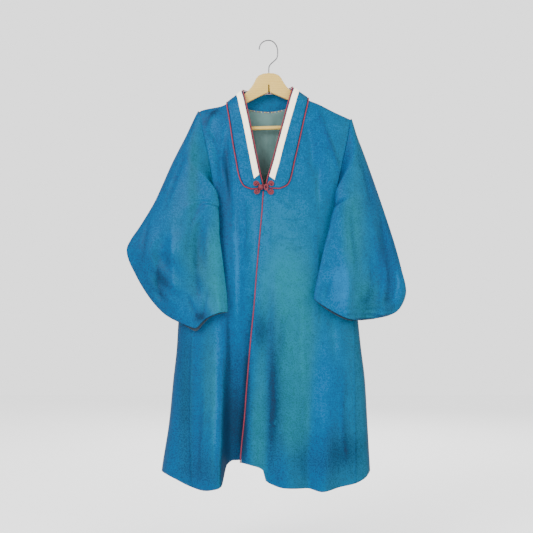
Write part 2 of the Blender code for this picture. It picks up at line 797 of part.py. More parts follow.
def sleeve_grid(side, rows, cuff, folds):
    """Points of a sleeve's outer face, one ring for each section, from the armhole to the cuff."""
    seam, seam_normals, ways = armhole(side)
    rings = [seam]
    for k, row in enumerate(rows):
        places = sleeve_places(seam, min((k + 1) / SETTLE_ROWS, 1.0))
        rings.append([section_point(row, *place) for place in places])
    for point, (share, front) in zip(rings[-1], places):
        point.z -= read(cuff, "front_drop" if front else "back_drop", "across", share)
    grid = []
    for i in range((len(rings) - 1) * SLEEVE_STEPS + 1):
        position = i / SLEEVE_STEPS
        ring = [through([r[j] for r in rings], position) for j in range(len(seam))]
        for point, start, (_, front) in zip(ring, seam, places):
            if front and position >= 1:
                point.y -= relief(folds, point.x, point.z)
            if 0 < position <= 1 and start.z < UNDERARM + LAYER:
                clear_of_gore(point)
            if i > 0 and (front or position > 1):
                corner = position < 2 and start.z < UNDERARM + LAYER
                gap = SLEEVE_RIDGE if front else SLEEVE_CLEARANCE
                clear_of_body(point, side, gap + CORNER_GAP * corner)
        if i == 1:
            for point, start, normal, way in zip(ring, seam, seam_normals, ways):
                under = start.z < UNDERARM + LAYER
                out, rise = (UNDERARM_OUT, WALL + UNDERARM_GAP) if under else (SEAM_OUT, SEAM_RISE)
                point.xyz = start + way * out + normal * rise
        grid.append(ring)
    return grid


def grid_normals(grid, wraps=False):
    """Normal at each point of a grid, from its neighbours: along a row crossed with down the rows."""
    count = len(grid[0])
    normals = []
    for i, row in enumerate(grid):
        above, below = grid[max(i - 1, 0)], grid[min(i + 1, len(grid) - 1)]
        found = []
        for j in range(count):
            after = row[(j + 1) % count] if wraps else row[min(j + 1, count - 1)]
            before = row[j - 1] if wraps else row[max(j - 1, 0)]
            found.append((after - before).cross(below[j] - above[j]).normalized())
        normals.append(found)
    return normals


def moved(grid, normals, distance):
    return [[p + n * distance for p, n in zip(*pair)] for pair in zip(grid, normals)]


def evened(normals):
    """The normals of a ring-shaped grid, each turned towards those around it."""
    for _ in range(NORMAL_PASSES):
        normals = [
            [
                (n * 2 + row[j - 1] + row[(j + 1) % len(row)] + above[j] + below[j]).normalized()
                for j, n in enumerate(row)
            ]
            for above, row, below in zip(normals[:1] + normals, normals, normals[1:] + normals[-1:])
        ]
    return normals


def add_sleeve(name, side, rows, cuff, folds):
    outer = sleeve_grid(side, rows, cuff, folds)
    turn = -1 if side == LEFT else 1
    normals = [[n * turn for n in row] for row in grid_normals(outer, wraps=True)]
    seam, normals[0], ways = armhole(side)
    outer[0] = moved([seam], [ways], SLEEVE_SEAM)[0]
    inner = []
    for i, (row, ups) in enumerate(zip(outer, evened(normals))):
        wall = SEAM_WALL + (WALL - SEAM_WALL) * min(i / WALL_ROWS, 1.0)
        inner += moved([row], [ups], -wall)
    return add_mesh(name, closed_mesh(outer, inner, wraps=True), COAT)


def band_edge(row, edge):
    """The neck edge or the sewn edge of the band's under face at a station."""
    x, z, depth = (getattr(row, edge + part) for part in ("_x", "_z", "_depth"))
    if depth is None:
        front = row.side != BACK
        side = row.side if front else (LEFT if x < 0 else RIGHT)
        depth = body_depth(x, z, side, front) + (LAYER if front else -LAYER)
    return Vector((x, -depth, z))


def band_row(position, shares):
    """Points across the band's under face at a station, at shares from its neck edge to its sewn edge."""
    neck = through([band_edge(row, "neck") for row in BAND], position)
    sewn = through([band_edge(row, "sewn") for row in BAND], position)
    side = LEFT if position < BAND_MIDDLE else RIGHT
    points = []
    for share in shares:
        point = neck.lerp(sewn, share)
        front = point.y < 0
        cloth = body_depth(point.x, point.z, side, front)
        lift = LAYER if front and point.z < NECK_ZONE else NECK_LAYER
        point.y = min(point.y, -cloth - lift) if front else max(point.y, lift - cloth)
        points.append(point)
    return points


def steps_between(first, last, step):
    """Positions a step apart, with the two ends themselves."""
    inside = [i * step for i in range(math.ceil(last / step)) if first < i * step < last]
    return [first, *inside, last]


def band_grid(positions):
    """The band's under face and its outward normals."""
    shares = [j / BAND_COLUMNS for j in range(BAND_COLUMNS + 1)]
    grid = [band_row(position, shares) for position in positions]
    return grid, [[-n for n in row] for row in grid_normals(grid)]


def across_row(row, share):
    """A point a share of the way along a row of evenly spaced points."""
    k = min(int(share * (len(row) - 1)), len(row) - 2)
    return row[k].lerp(row[k + 1], share * (len(row) - 1) - k)


def add_band():
    grid, normals = band_grid(steps_between(0.0, len(BAND) - 1, 1 / BAND_STEPS))
    add_mesh("neck_band", closed_mesh(moved(grid, normals, BAND_WALL), grid), COAT)


def add_strip():
    """The pale strip basted along the neck edge, on the band's outer face."""
    grid, normals = band_grid(steps_between(STRIP_START, STRIP_END, 1 / BAND_STEPS))
    under, over = [], []
    for row, ups in zip(grid, normals):
        width = (row[-1] - row[0]).length
        shares = (STRIP_SET_BACK / width, 1 / BAND_COLUMNS, (STRIP_SET_BACK + STRIP_WIDTH) / width)
        for level, rise in ((under, BAND_WALL + STRIP_GAP), (over, BAND_WALL + STRIP_GAP + STRIP_WALL)):
            level.append([across_row(row, s) + across_row(ups, s).normalized() * rise for s in shares])
    add_mesh("collar_strip", closed_mesh(over, under), STRIP)


def beside(points, ups, rise, off, turn):
    """A path beside the edge of a piece: off away from it in its own plane, and risen above it."""
    path = []
    for i, (point, up) in enumerate(zip(points, ups)):
        along = points[min(i + 1, len(points) - 1)] - points[max(i - 1, 0)]
        path.append(point + up.cross(along).normalized() * turn * off + up * rise)
    return path


def add_band_piping():
    """Corded piping beside the band: one cord round its sewn edge and front ends, one along the neck."""
    grid, normals = band_grid(steps_between(0.0, len(BAND) - 1, 1 / BAND_STEPS))
    inner = range(1, BAND_COLUMNS)
    rims = []
    for rows in (grid, normals):
        first, last = [rows[0][j] for j in inner], [rows[-1][j] for j in inner[::-1]]
        rims.append(first + [row[-1] for row in rows] + last)
    off = PIPING_RADIUS + LAYER
    add_tube("piping_band", beside(*rims, off, off, 1), PIPING_RADIUS, PIPING, resolution=1)
    necks = [[row[0] for row in rows[1:-1]] for rows in (grid, normals)]
    add_tube("piping_neck", beside(*necks, BAND_WALL / 2, off, -1), PIPING_RADIUS, PIPING, resolution=1)


def add_front_piping():
    """Corded piping down the edge of the front that lies on top."""
    surface = front_surface(RIGHT, YOKE_RIGHT, FRONT_EDGE_RIGHT, GORE_SEAM_RIGHT)
    first, last = len(YOKE_RIGHT) - 2, len(YOKE_RIGHT) - 1 + SKIRT_LEVELS
    route = []
    for down in steps_between(first + PIPING_START, last, 1.0):
        edge, inside = surface(0.0, down), surface(1 / FRONT_COLUMNS, down)
        out = (edge - inside).normalized()
        inwards = -body_normal(surface, 0.0, down)
        route.append(edge + out * (PIPING_RADIUS + LAYER) + inwards * WALL / 2)
    add_tube("piping_front", route, PIPING_RADIUS, PIPING, resolution=1)


def add_lining():
    """The part of the back's lining that shows inside the neck."""
    grid = []
    for i in range(LINING_ROWS + 1):
        row = []
        for j in range(LINING_COLUMNS + 1):
            x = LINING_LEFT + (LINING_RIGHT - LINING_LEFT) * j / LINING_COLUMNS
            top = read(NECKLINE, "height", "x", x) - LINING_DROP
            z = top + (LINING_FOOT - top) * i / LINING_ROWS
            depth = body_depth(x, z, LEFT if x < CENTRE_BACK[-1].x else RIGHT, False)
            row.append(Vector((x, -depth - WALL - LINING_GAP, z)))
        grid.append(row)
    inner = [[p - Vector((0, LINING_WALL, 0)) for p in row] for row in grid]
    add_mesh("back_lining", closed_mesh(grid, inner), LINING)


def frog_centre(x, z, side, lift, radius):
    """Where a cord or knot of this radius rests on the band and its piping, this far off the body."""
    return Vector((x, -body_depth(x, z, side, True) - lift - radius, z))


def add_frog():
    for lobe in FROG_LOBES:
        centre = frog_centre(lobe.x, lobe.height, lobe.side, lobe.lift, FROG_CORD_RADIUS)
        bpy.ops.mesh.primitive_torus_add(
            location=centre * MM,
            rotation=(math.pi / 2, 0, 0),
            major_segments=14,
            minor_segments=6,
            major_radius=LOBE_RADIUS * MM,
            minor_radius=FROG_CORD_RADIUS * MM,
        )
        adopt(lobe.name, FROG)
    bpy.ops.mesh.primitive_uv_sphere_add(
        location=frog_centre(KNOT_X, KNOT_HEIGHT, LEFT, KNOT_LIFT, KNOT_RADIUS) * MM,
        segments=12,
        ring_count=7,
        radius=KNOT_RADIUS * MM,
    )
    adopt("frog_knot", FROG)
    count = 12
    centre = frog_centre(LOOP_X, KNOT_HEIGHT, RIGHT, LOOP_LIFT, FROG_CORD_RADIUS)
    turns = [2 * math.pi * i / count for i in range(count)]
    route = [
        centre + Vector((LOOP_HALF_WIDTH * math.cos(a), 0, LOOP_HALF_HEIGHT * math.sin(a))) for a in turns
    ]
    add_tube("frog_loop", route, FROG_CORD_RADIUS - 0.3, FROG, closed=True, resolution=1)


def adopt(name, finish):
    """Names the object that was just made, dresses it and puts it with the other parts."""
    made = bpy.context.object
    made.name = made.data.name = name
    made.data.materials.append(material(finish))
    made.data.shade_smooth()
    for old in list(made.users_collection):
        old.objects.unlink(made)
    bpy.data.collections[COLLECTION].objects.link(made)
    return made


def add_hanger():
    """The wooden arms and trouser bar, tilted together about the foot of the hook."""
    data = bpy.data.curves.new("hanger_arms", "CURVE")
    data.dimensions = "2D"
    data.fill_mode = "BOTH"
    data.extrude = (HANGER_HALF_THICKNESS - HANGER_EDGE_ROUND) * MM
    data.bevel_depth = HANGER_EDGE_ROUND * MM
    data.bevel_resolution = 0
    data.offset = -HANGER_EDGE_ROUND * MM
    mirrored = [(-x, z) for x, z in reversed(HANGER_OUTLINE[1:])]
    outline = [*HANGER_OUTLINE, *mirrored]
    spline = data.splines.new("POLY")
    spline.points.add(len(outline) - 1)
    for point, (x, z) in zip(spline.points, outline):
        point.co = (x * MM, (z - PIVOT_HEIGHT) * MM, 0.0, 1.0)
    spline.use_cyclic_u = True
    arms = add_object("hanger_arms", data, WOOD)
    arms.location = (0, 0, PIVOT_HEIGHT * MM)
    arms.rotation_euler = (math.pi / 2, -HANGER_TILT, 0)
    bpy.ops.mesh.primitive_cylinder_add(
        vertices=16,
        radius=BAR_RADIUS * MM,
        depth=2 * BAR_HALF_LENGTH * MM,
        rotation=(0, math.pi / 2 - HANGER_TILT, 0),
        location=Vector(
            (
                -(BAR_HEIGHT - PIVOT_HEIGHT) * math.sin(HANGER_TILT),
                0,
                PIVOT_HEIGHT + (BAR_HEIGHT - PIVOT_HEIGHT) * math.cos(HANGER_TILT),
            )
        )
        * MM,
    )
    adopt("trouser_bar", WOOD)


def add_hook():
    corners = [Vector((x, 0, z)) for x, z in HOOK_ROUTE]
    route = [through(corners, i / HOOK_STEPS) for i in range((len(corners) - 1) * HOOK_STEPS + 1)]
    add_tube("hook", route, HOOK_RADIUS, STEEL)


def main():
    for old in list(bpy.data.objects):
        bpy.data.objects.remove(old)
    collection = bpy.data.collections.new(COLLECTION)
    bpy.context.scene.collection.children.link(collection)
    add_body()
    add_sleeve("sleeve_left", LEFT, SLEEVE_LEFT, CUFF_LEFT, FOLDS_SLEEVE_LEFT)
    add_sleeve("sleeve_right", RIGHT, SLEEVE_RIGHT, CUFF_RIGHT, FOLDS_SLEEVE_RIGHT)
    add_band()
    add_strip()
    add_band_piping()
    add_front_piping()
    add_lining()
    add_frog()
    add_hanger()
    add_hook()


COLLECTION = "satin_overcoat_on_hanger"
main()
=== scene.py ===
"""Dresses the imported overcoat: satin shells with their creases, trims, knotted closure and wooden hanger.

Tables are in millimetres, as the maker's pattern is, and meshes in metres. X runs to the viewer's right,
Y to the back of the coat and Z up. The hanging point, inside the top of the hook, is the origin.
"""

from __future__ import annotations

import logging
import math
from abc import ABC, abstractmethod
from dataclasses import dataclass, replace
from enum import Enum
from typing import Callable, Sequence

import bmesh
import bpy
import numpy as np
from mathutils import Matrix, Vector

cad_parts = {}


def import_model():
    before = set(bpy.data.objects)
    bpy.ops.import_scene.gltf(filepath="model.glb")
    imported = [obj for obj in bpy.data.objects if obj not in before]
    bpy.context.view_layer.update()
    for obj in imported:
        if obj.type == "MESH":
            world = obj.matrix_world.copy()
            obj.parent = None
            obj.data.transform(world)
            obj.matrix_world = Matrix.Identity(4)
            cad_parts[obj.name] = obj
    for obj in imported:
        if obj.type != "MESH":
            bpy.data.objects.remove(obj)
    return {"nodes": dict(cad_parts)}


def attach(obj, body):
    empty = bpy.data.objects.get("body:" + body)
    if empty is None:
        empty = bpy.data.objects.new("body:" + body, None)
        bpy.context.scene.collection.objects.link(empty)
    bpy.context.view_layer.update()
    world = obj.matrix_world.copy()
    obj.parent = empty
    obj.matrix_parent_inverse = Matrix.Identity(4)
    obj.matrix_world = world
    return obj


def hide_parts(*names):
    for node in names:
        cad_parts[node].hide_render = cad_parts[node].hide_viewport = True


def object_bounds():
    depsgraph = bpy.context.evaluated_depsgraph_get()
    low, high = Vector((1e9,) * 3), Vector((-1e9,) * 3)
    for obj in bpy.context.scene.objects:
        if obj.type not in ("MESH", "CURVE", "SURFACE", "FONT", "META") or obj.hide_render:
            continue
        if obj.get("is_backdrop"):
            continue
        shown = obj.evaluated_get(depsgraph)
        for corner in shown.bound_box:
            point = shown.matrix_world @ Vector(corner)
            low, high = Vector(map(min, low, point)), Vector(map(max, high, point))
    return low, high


LOG = logging.getLogger("overcoat")
MM = 0.001
BODY_NAME = "root"
Array = np.ndarray
Object = bpy.types.Object
Mesh = bpy.types.Mesh
Socket = bpy.types.NodeSocket
Surface = Callable[[Array, Array], Array]
Edge = tuple[Sequence["LineRow"], bool]
Where = dict[str, Socket]


class Side(Enum):
    """The viewer's left or right half of the coat."""

    LEFT = "left"
    RIGHT = "right"

    @property
    def sign(self) -> int:
        """Which way this side lies along X.

        Returns:
            -1 at the viewer's left, 1 at the right.
        """
        return -1 if self is Side.LEFT else 1


class Growth(Enum):
    """How a fold gains height down its length."""

    GROWS = "grows"
    FADES = "fades"
    EVEN = "even"


@dataclass(frozen=True)
class BodyRow:
    """Plan section of the body at a height: side edges, depths and squareness."""

    height: float
    left: float
    right: float
    front: float
    back: float
    squareness: float


@dataclass(frozen=True)
class LineRow:
    """A point of a line drawn on the front or back view."""

    x: float
    height: float


@dataclass(frozen=True)
class Fold:
    """A broad fold down a slanting line, with its own width on either side."""

    top_x: float
    top_z: float
    foot_x: float
    foot_z: float
    left_width: float
    right_width: float
    rise: float
    growth: Growth


@dataclass(frozen=True)
class Crease:
    """A narrow crease or ridge of the cloth along a path of (x, height) points."""

    path: tuple[tuple[float, float], ...]
    rise: float
    width: float
    lean: float = 1.0


@dataclass(frozen=True)
class ShotAndShadePatch:
    """A soft patch where the shot satin turns to its other colours: green for the warp, and deep for painted
    shade, which is painted light where it is negative.
    """

    x: float
    z: float
    width: float
    height: float
    green: float
    deep: float


@dataclass(frozen=True)
class YokeRow:
    """A row across the upper part of a front, from the neck band to the armhole."""

    neck_x: float
    neck_z: float
    arm_x: float
    arm_z: float


@dataclass(frozen=True)
class SleeveRow:
    """A section of a sleeve, from its outer to its inner edge."""

    outer_x: float
    outer_z: float
    outer_depth: float
    inner_x: float
    inner_z: float
    inner_depth: float
    front: float
    back: float
    front_bow: float
    back_bow: float


@dataclass(frozen=True)
class CuffRow:
    """How far the sleeve's end hangs below its last section."""

    across: float
    front_drop: float
    back_drop: float


@dataclass(frozen=True)
class BandRow:
    """A station of the neck band; an edge with no depth lies on the cloth below it."""

    neck_x: float
    neck_z: float
    neck_depth: float | None
    sewn_x: float
    sewn_z: float
    sewn_depth: float | None
    side: str


def smooth_line(xs: Sequence[float], ys: Sequence[float]) -> Callable[[Array], Array]:
    """Makes a smooth curve through points that never swings past them.

    Args:
        xs: Where the points lie, in any order.
        ys: Their values.

    Returns:
        A function that reads the curve at an array of places.
    """
    order = np.argsort(xs)
    x, y = np.asarray(xs, float)[order], np.asarray(ys, float)[order]
    slopes = np.diff(y) / np.diff(x)
    both = slopes[:-1] * slopes[1:]
    total = slopes[:-1] + slopes[1:]
    inner = np.where(both <= 0, 0.0, 2 * both / np.where(total == 0, 1.0, total))
    tangents = np.concatenate([slopes[:1], inner, slopes[-1:]])

    def read(at: Array) -> Array:
        """Reads the curve.

        Args:
            at: Where to read it.

        Returns:
            Its values there.
        """
        at = np.clip(at, x[0], x[-1])
        k = np.clip(np.searchsorted(x, at, "right") - 1, 0, len(x) - 2)
        span = x[k + 1] - x[k]
        t = (at - x[k]) / span
        start = (2 * t**3 - 3 * t**2 + 1) * y[k] + (t**3 - 2 * t**2 + t) * span * tangents[k]
        return start + (3 * t**2 - 2 * t**3) * y[k + 1] + (t**3 - t**2) * span * tangents[k + 1]

    return read


def column(rows: Sequence[object], name: str, key: str) -> Callable[[Array], Array]:
    """Makes a smooth curve of one named column of a table against another.

    Args:
        rows: The table.
        name: The column that is read.
        key: The column that it is read against.

    Returns:
        The curve, as a function.
    """
    return smooth_line([getattr(r, key) for r in rows], [getattr(r, name) for r in rows])


def through(points: Array, position: Array) -> Array:
    """Reads the smooth path through points.

    Args:
        points: The points, one to a row.
        position: Where to read it: 1.5 is halfway from point 1 to point 2.

    Returns:
        The places on the path, one to a row.
    """
    last = len(points) - 1
    position = np.asarray(position, float)
    k = np.clip(np.floor(position).astype(int), 0, last - 1)
    t = (position - k)[..., None]
    b, c = points[k], points[k + 1]
    a = np.where((k > 0)[..., None], points[np.maximum(k - 1, 0)], 2 * b - c)
    d = np.where((k < last - 1)[..., None], points[np.minimum(k + 2, last)], 2 * c - b)
    curve = (c - a) * t + (2 * a - 5 * b + 4 * c - d) * t**2 + (3 * b - a - 3 * c + d) * t**3
    return b + 0.5 * curve


def unit(vectors: Array) -> Array:
    """Gives vectors the length 1.

    Args:
        vectors: The vectors, along the last axis.

    Returns:
        The unit vectors.
    """
    return vectors / np.maximum(np.linalg.norm(vectors, axis=-1, keepdims=True), 1e-12)


@dataclass(frozen=True)
class SatinFinish:
    """Colours and gloss of a woven satin, which turns from one colour to another with the way it faces: deep,
    middle and light are painted shade, mid tone and painted light of one blue, other its green.
    """

    name: str
    deep: tuple[float, float, float]
    middle: tuple[float, float, float]
    light: tuple[float, float, float]
    other: tuple[float, float, float]
    roughness: float
    sheen: float
    figure_mm: float


@dataclass(frozen=True)
class ClothFinish:
    """Colours and gloss of a plain woven cloth or a cord."""

    name: str
    deep: tuple[float, float, float]
    light: tuple[float, float, float]
    roughness: float
    sheen: float
    thread_mm: float
    bump: float


@dataclass(frozen=True)
class WoodFinish:
    """Colours and gloss of varnished wood."""

    name: str
    early: tuple[float, float, float]
    late: tuple[float, float, float]
    roughness: float
    coat: float
    ring_mm: float


@dataclass(frozen=True)
class WireFinish:
    """Colour and gloss of plated wire."""

    name: str
    colour: tuple[float, float, float]
    worn: tuple[float, float, float]
    roughness: float
    draw_mm: float


Finish = SatinFinish | ClothFinish | WoodFinish | WireFinish


@dataclass(frozen=True)
class Lamp:
    """A soft light of the studio."""

    name: str
    place: tuple[float, float, float]
    size: float
    watts: float
    colour: tuple[float, float, float]


@dataclass(frozen=True)
class SheetCut:
    """The cut of a sheet of cloth: its size, how it is held and what it hangs from."""

    name: str
    width: float
    length: float
    held: str
    rests_on: tuple[str, ...]
    area: float | None = None


def table(kind: type, *values: tuple) -> tuple:
    """Makes the records of a table.

    Args:
        kind: The class of its records.
        values: Each record's values, in the order of its fields.

    Returns:
        The records.
    """
    return tuple(kind(*value) for value in values)


BODY = table(
    BodyRow,
    (-1180, -280, 263, 68, 64, 2.4),
    (-1096, -272, 259, 66, 62, 2.4),
    (-966, -253, 252, 63, 57, 2.4),
    (-864, -243, 246, 60, 53, 2.4),
    (-783, -234, 236, 58, 50, 2.4),
    (-717, -230, 229, 56, 48, 2.4),
    (-558, -208, 213, 50, 42, 2.4),
    (-441, -190, 200, 43, 36, 2.4),
    (-345, -186, 205, 36, 31, 2.8),
    (-277, -183, 208, 30, 27, 3.2),
    (-200, -181, 211, 24, 22, 4.0),
    (-120, -181, 212, 20, 18, 4.0),
)

SHOULDER = table(
    LineRow,
    (-181, -184), (-170, -177), (-119, -166), (-103, -158), (-78, -143), (-40, -112), (0, -100),
    (40, -106), (76, -134), (98, -149), (131, -163), (164, -180), (212, -202),
)

RISE_DEPTH = 170
RISE_POWER = 3.0

# Heights of the underarm and of the level hem that the hem line then bends
UNDERARM = -441
HEM = -1100
HEM_BLEND = 330
HEM_POWER = 1.6

HEM_LEFT = table(
    LineRow,
    (-275, -1093), (-236, -1109), (-196, -1125), (-161, -1132), (-135, -1128), (-117, -1121),
    (-103, -1070), (-87, -1061), (10, -1061),
)
HEM_RIGHT = table(
    LineRow,
    (-68, -1064), (-46, -1070), (-15, -1081), (-8, -1108), (10, -1118), (37, -1125), (96, -1127),
    (134, -1136), (177, -1128), (218, -1121), (245, -1109), (262, -1090),
)
HEM_BACK = table(
    LineRow,
    (-275, -1093), (-190, -1102), (-112, -1076), (-10, -1074), (60, -1094), (140, -1102),
    (210, -1104), (262, -1090),
)

FOLDS_LEFT = table(
    Fold,
    (-110, -500, -124, -1130, 60, 16, 40, Growth.GROWS),
    (-78, -400, -80, -820, 18, 20, 7, Growth.FADES),
    (-30, -560, -30, -1130, 90, 80, -24, Growth.GROWS),
    (-150, -200, -92, -430, 12, 12, -5, Growth.FADES),
)
FOLDS_RIGHT = table(
    Fold,
    (-12, -290, -66, -1130, 50, 70, 5, Growth.EVEN),
    (46, -520, 54, -1130, 44, 56, 24, Growth.GROWS),
    (150, -560, 140, -1130, 30, 28, 16, Growth.GROWS),
    (0, -560, -6, -900, 16, 14, -6, Growth.FADES),
    (96, -220, 150, -440, 16, 20, -4, Growth.FADES),
    (100, -620, 98, -1130, 14, 14, -4, Growth.GROWS),
)
FOLDS_BACK = table(
    Fold,
    (-120, -420, -176, -1130, 30, 34, 16, Growth.GROWS),
    (-40, -520, -66, -1130, 30, 26, 14, Growth.GROWS),
    (52, -460, 48, -1130, 26, 34, 17, Growth.GROWS),
    (122, -400, 158, -1130, 32, 28, 15, Growth.GROWS),
    (4, -600, -8, -1130, 18, 22, -9, Growth.GROWS),
)
EVEN_START = 0.1
GROWTH = 1.15
FOLD_REACH = 1.6

FRONT_EDGE_RIGHT = table(
    LineRow,
    (-71, -1140), (-66, -1055), (-58, -961), (-53, -884), (-43, -759), (-35, -679), (-26, -564),
    (-15, -441),
)
FRONT_EDGE_LEFT = table(
    LineRow,
    (4, -1140), (2, -679), (-1, -441),
)
GORE_SEAM_LEFT = table(
    LineRow,
    (-190, -1140), (-197, -930), (-193, -717), (-188, -558), (-178, -441),
)
GORE_SEAM_RIGHT = table(
    LineRow,
    (220, -1140), (216, -717), (203, -558), (190, -441),
)
CENTRE_BACK = (LineRow(-2, -1140), LineRow(6, -441))

YOKE_RIGHT = table(
    YokeRow,
    (91, -144.5, 211, -201.5), (82, -200, 201, -245), (70, -258, 189, -300), (56, -322, 178, -352),
    (41, -363, 171, -390), (15, -368, 172, -414), (-8, -371, 179, -431), (-15, -441, 190, -441),
)
YOKE_LEFT = table(
    YokeRow,
    (-95, -153, -180.5, -184), (-89, -203, -168, -226), (-80, -260, -156, -278),
    (-70, -324, -145, -334), (-58, -362, -137, -385), (-36, -368, -141, -412),
    (-11, -371, -156, -431), (-1, -441, -178, -441),
)

ARM_BACK_RIGHT = table(
    LineRow,
    (190, -441), (184, -390), (188, -336), (197, -277), (211, -202),
)
ARM_BACK_LEFT = table(
    LineRow,
    (-178, -441), (-162, -390), (-162, -336), (-168, -277), (-180.5, -184),
)

NECKLINE = table(
    LineRow,
    (-95, -153), (-60, -170), (0, -178), (55, -168), (91, -144.5),
)
BACK_YOKE_ROWS = 7

SLEEVE_LEFT = table(
    SleeveRow,
    (-210, -242, 3, -198, -448, 19, 34, 12, 72, 14),
    (-248, -318, 8, -160, -453, 31, 31, 12, 56, 4),
    (-289, -410, 12, -127, -425, 51, 24, 12, 8, 0),
    (-330, -478, 14, -122, -496, 56, 20, 14, 0, 0),
    (-360, -531, 16, -116, -542, 60, 20, 15, 0, 0),
    (-341, -588, 20, -110, -588, 64, 20, 14, 0, 0),
    (-303, -651, 30, -105, -630, 67, 18, 12, 0, 0),
    (-263, -694, 42, -102, -664, 70, 16, 9, 0, 0),
    (-227, -714, 52, -101, -688, 72, 14, 7, 0, 0),
)
SLEEVE_RIGHT = table(
    SleeveRow,
    (225, -240, 3, 206, -449, 12, 32, 12, -44, -12),
    (250, -308, 8, 191, -457, 28, 30, 12, -38, -4),
    (277, -385, 10, 166, -425, 50, 24, 12, -8, 0),
    (301, -456, 11, 150, -484, 55, 20, 14, 0, 0),
    (322, -522, 12, 138, -530, 59, 20, 15, 0, 0),
    (340, -590, 14, 128, -575, 63, 20, 15, 0, 0),
    (349, -642, 18, 120, -610, 66, 20, 14, 0, 0),
    (325, -688, 30, 115, -634, 69, 18, 12, 0, 0),
    (274, -705, 46, 113, -646, 71, 16, 9, 0, 0),
    (222, -710, 58, 112, -655, 72, 14, 7, 0, 0),
)

CUFF_LEFT = table(
    CuffRow,
    (0.0, 0, 0), (0.18, 13, 18), (0.34, 22, 31), (0.43, 25, 34), (0.52, 7, 16), (0.67, 1, 5),
    (0.83, -3, 1), (1.0, 0, 1),
)
CUFF_RIGHT = table(
    CuffRow,
    (0.0, 0, 0), (0.2, 6, 11), (0.4, 8, 14), (0.6, 7, 13), (0.8, 5, 9), (1.0, 0, 1),
)
FOLDS_SLEEVE_LEFT = table(
    Fold,
    (-262, -470, -276, -680, 11, 11, -9, Growth.FADES),
    (-238, -430, -244, -690, 12, 12, 6, Growth.FADES),
    (-176, -330, -184, -690, 11, 14, -9, Growth.FADES),
    (-128, -400, -128, -720, 16, 18, 6, Growth.GROWS),
)
FOLDS_SLEEVE_RIGHT = table(
    Fold,
    (178, -330, 196, -720, 16, 16, 6, Growth.GROWS),
    (222, -330, 252, -720, 16, 16, -8, Growth.GROWS),
    (262, -400, 290, -710, 12, 12, 7, Growth.GROWS),
    (278, -440, 312, -690, 9, 9, -8, Growth.FADES),
)

SLEEVE_CLEARANCE = 1.5
SLEEVE_RIDGE = 2.4
UNDERARM_GAP = 4.5
UNDERARM_OUT = 2.5
EDGE_MARGIN = 2.0
CORNER_GAP = 6.5
SEAM_OUT = 2.6
SEAM_RISE = 0.9
SEAM_TUCK = 1.6
UNDERARM_TUCK = 5.0
SETTLE_ROWS = 4
BOW_SKEW = 2.3
PLUMPNESS = 0.62

BAND = table(
    BandRow,
    (-15, -376, None, -44, -378, None, "left"),
    (-17, -362, None, -62, -369, None, "left"),
    (-22, -342, None, -73, -345, None, "left"),
    (-29, -308, None, -80, -308, None, "left"),
    (-37, -268, None, -88, -264, None, "left"),
    (-50, -203, None, -98, -198, None, "left"),
    (-61, -150, 15, -103, -170, None, "left"),
    (-66, -129, 3, -103, -156, 0, "left"),
    (-60, -128, -10, -92, -168, None, "back"),
    (-34, -131, -19, -54, -183, None, "back"),
    (0, -133, -22, 0, -189, None, "back"),
    (34, -128, -19, 52, -180, None, "back"),
    (56, -121, -10, 88, -161, None, "back"),
    (62, -121, 3, 99, -145.5, 0, "right"),
    (55, -146, 15, 97, -163, None, "right"),
    (41, -198, None, 89, -198, None, "right"),
    (21, -273, None, 73, -270, None, "right"),
    (12, -308, None, 64, -308, None, "right"),
    (2, -342, None, 56, -345, None, "right"),
    (-3, -362, None, 47, -367, None, "right"),
    (-5, -376, None, 28, -377, None, "right"),
)

BAND_MIDDLE = 10
NECK_ZONE = -175
NECK_LAYER = 1.6
STRIP_WIDTH = 15.0
STRIP_SET_BACK = 1.9
STRIP_GAP = 0.5
STRIP_START = 1.95
STRIP_END = 18.25
STRIP_SLANT = 0.4
STRIP_STRAIGHT = (3.0, 17.2)
PIPING_RADIUS = 1.5
PIPING_START = 0.3

# Thicknesses and gaps of the cloth, and how the solids were divided
WALL = 2.0
BAND_WALL = 2.6
LAYER = 0.4
NUDGE = 0.002
NUDGE_DOWN = 0.04
YOKE_DOWNS = (0, 0.12, 0.5, 1, 2, 3, 4, 5, 6, 7)
SKIRT_LEVELS = 12
GORE_COLUMNS = 6
SLEEVE_STEPS = 2
BAND_STEPS = 2
BAND_COLUMNS = 4

# The part of the back's lining that shows
LINING_LEFT = -72
LINING_RIGHT = 70
LINING_FOOT = -455
LINING_DROP = 3
LINING_GAP = 1.2

# Coloured stitches along the top of the lining
STITCH_LEFT = -58.0
STITCH_RIGHT = 56.0
STITCH_PITCH = 4.4
STITCH_DROP = -0.6
STITCH_RISE = 0.7
STITCH_SIZE = (1.5, 0.5, 0.7)

# Corded closure at the foot of the neck band: each loop's node, place, side and lift off the body
LOBES = (
    ("frog_left_upper_lobe", -31.5, -367, Side.LEFT, 3.4),
    ("frog_left_lower_lobe", -30, -386, Side.LEFT, 3.0),
    ("frog_right_upper_lobe", 7, -367, Side.RIGHT, 3.8),
    ("frog_right_lower_lobe", 6.5, -387, Side.RIGHT, 2.8),
)
COIL_RADIUS = 8.4
COIL_CORD = 1.85
COIL_START = 1.7
COIL_TURNS = 1.45
COIL_DOME = 1.1
COIL_PITCH = 4.6
FROG_CORD_RADIUS = 2.3
KNOT_X = -19.5
KNOT_HEIGHT = -376.0
KNOT_RADIUS = 7.0
LOOP_X = -6.0
LOOP_HALF_WIDTH = 4.2
LOOP_HALF_HEIGHT = 6.2
KNOT_LIFT = 3.1
LOOP_LIFT = 2.9

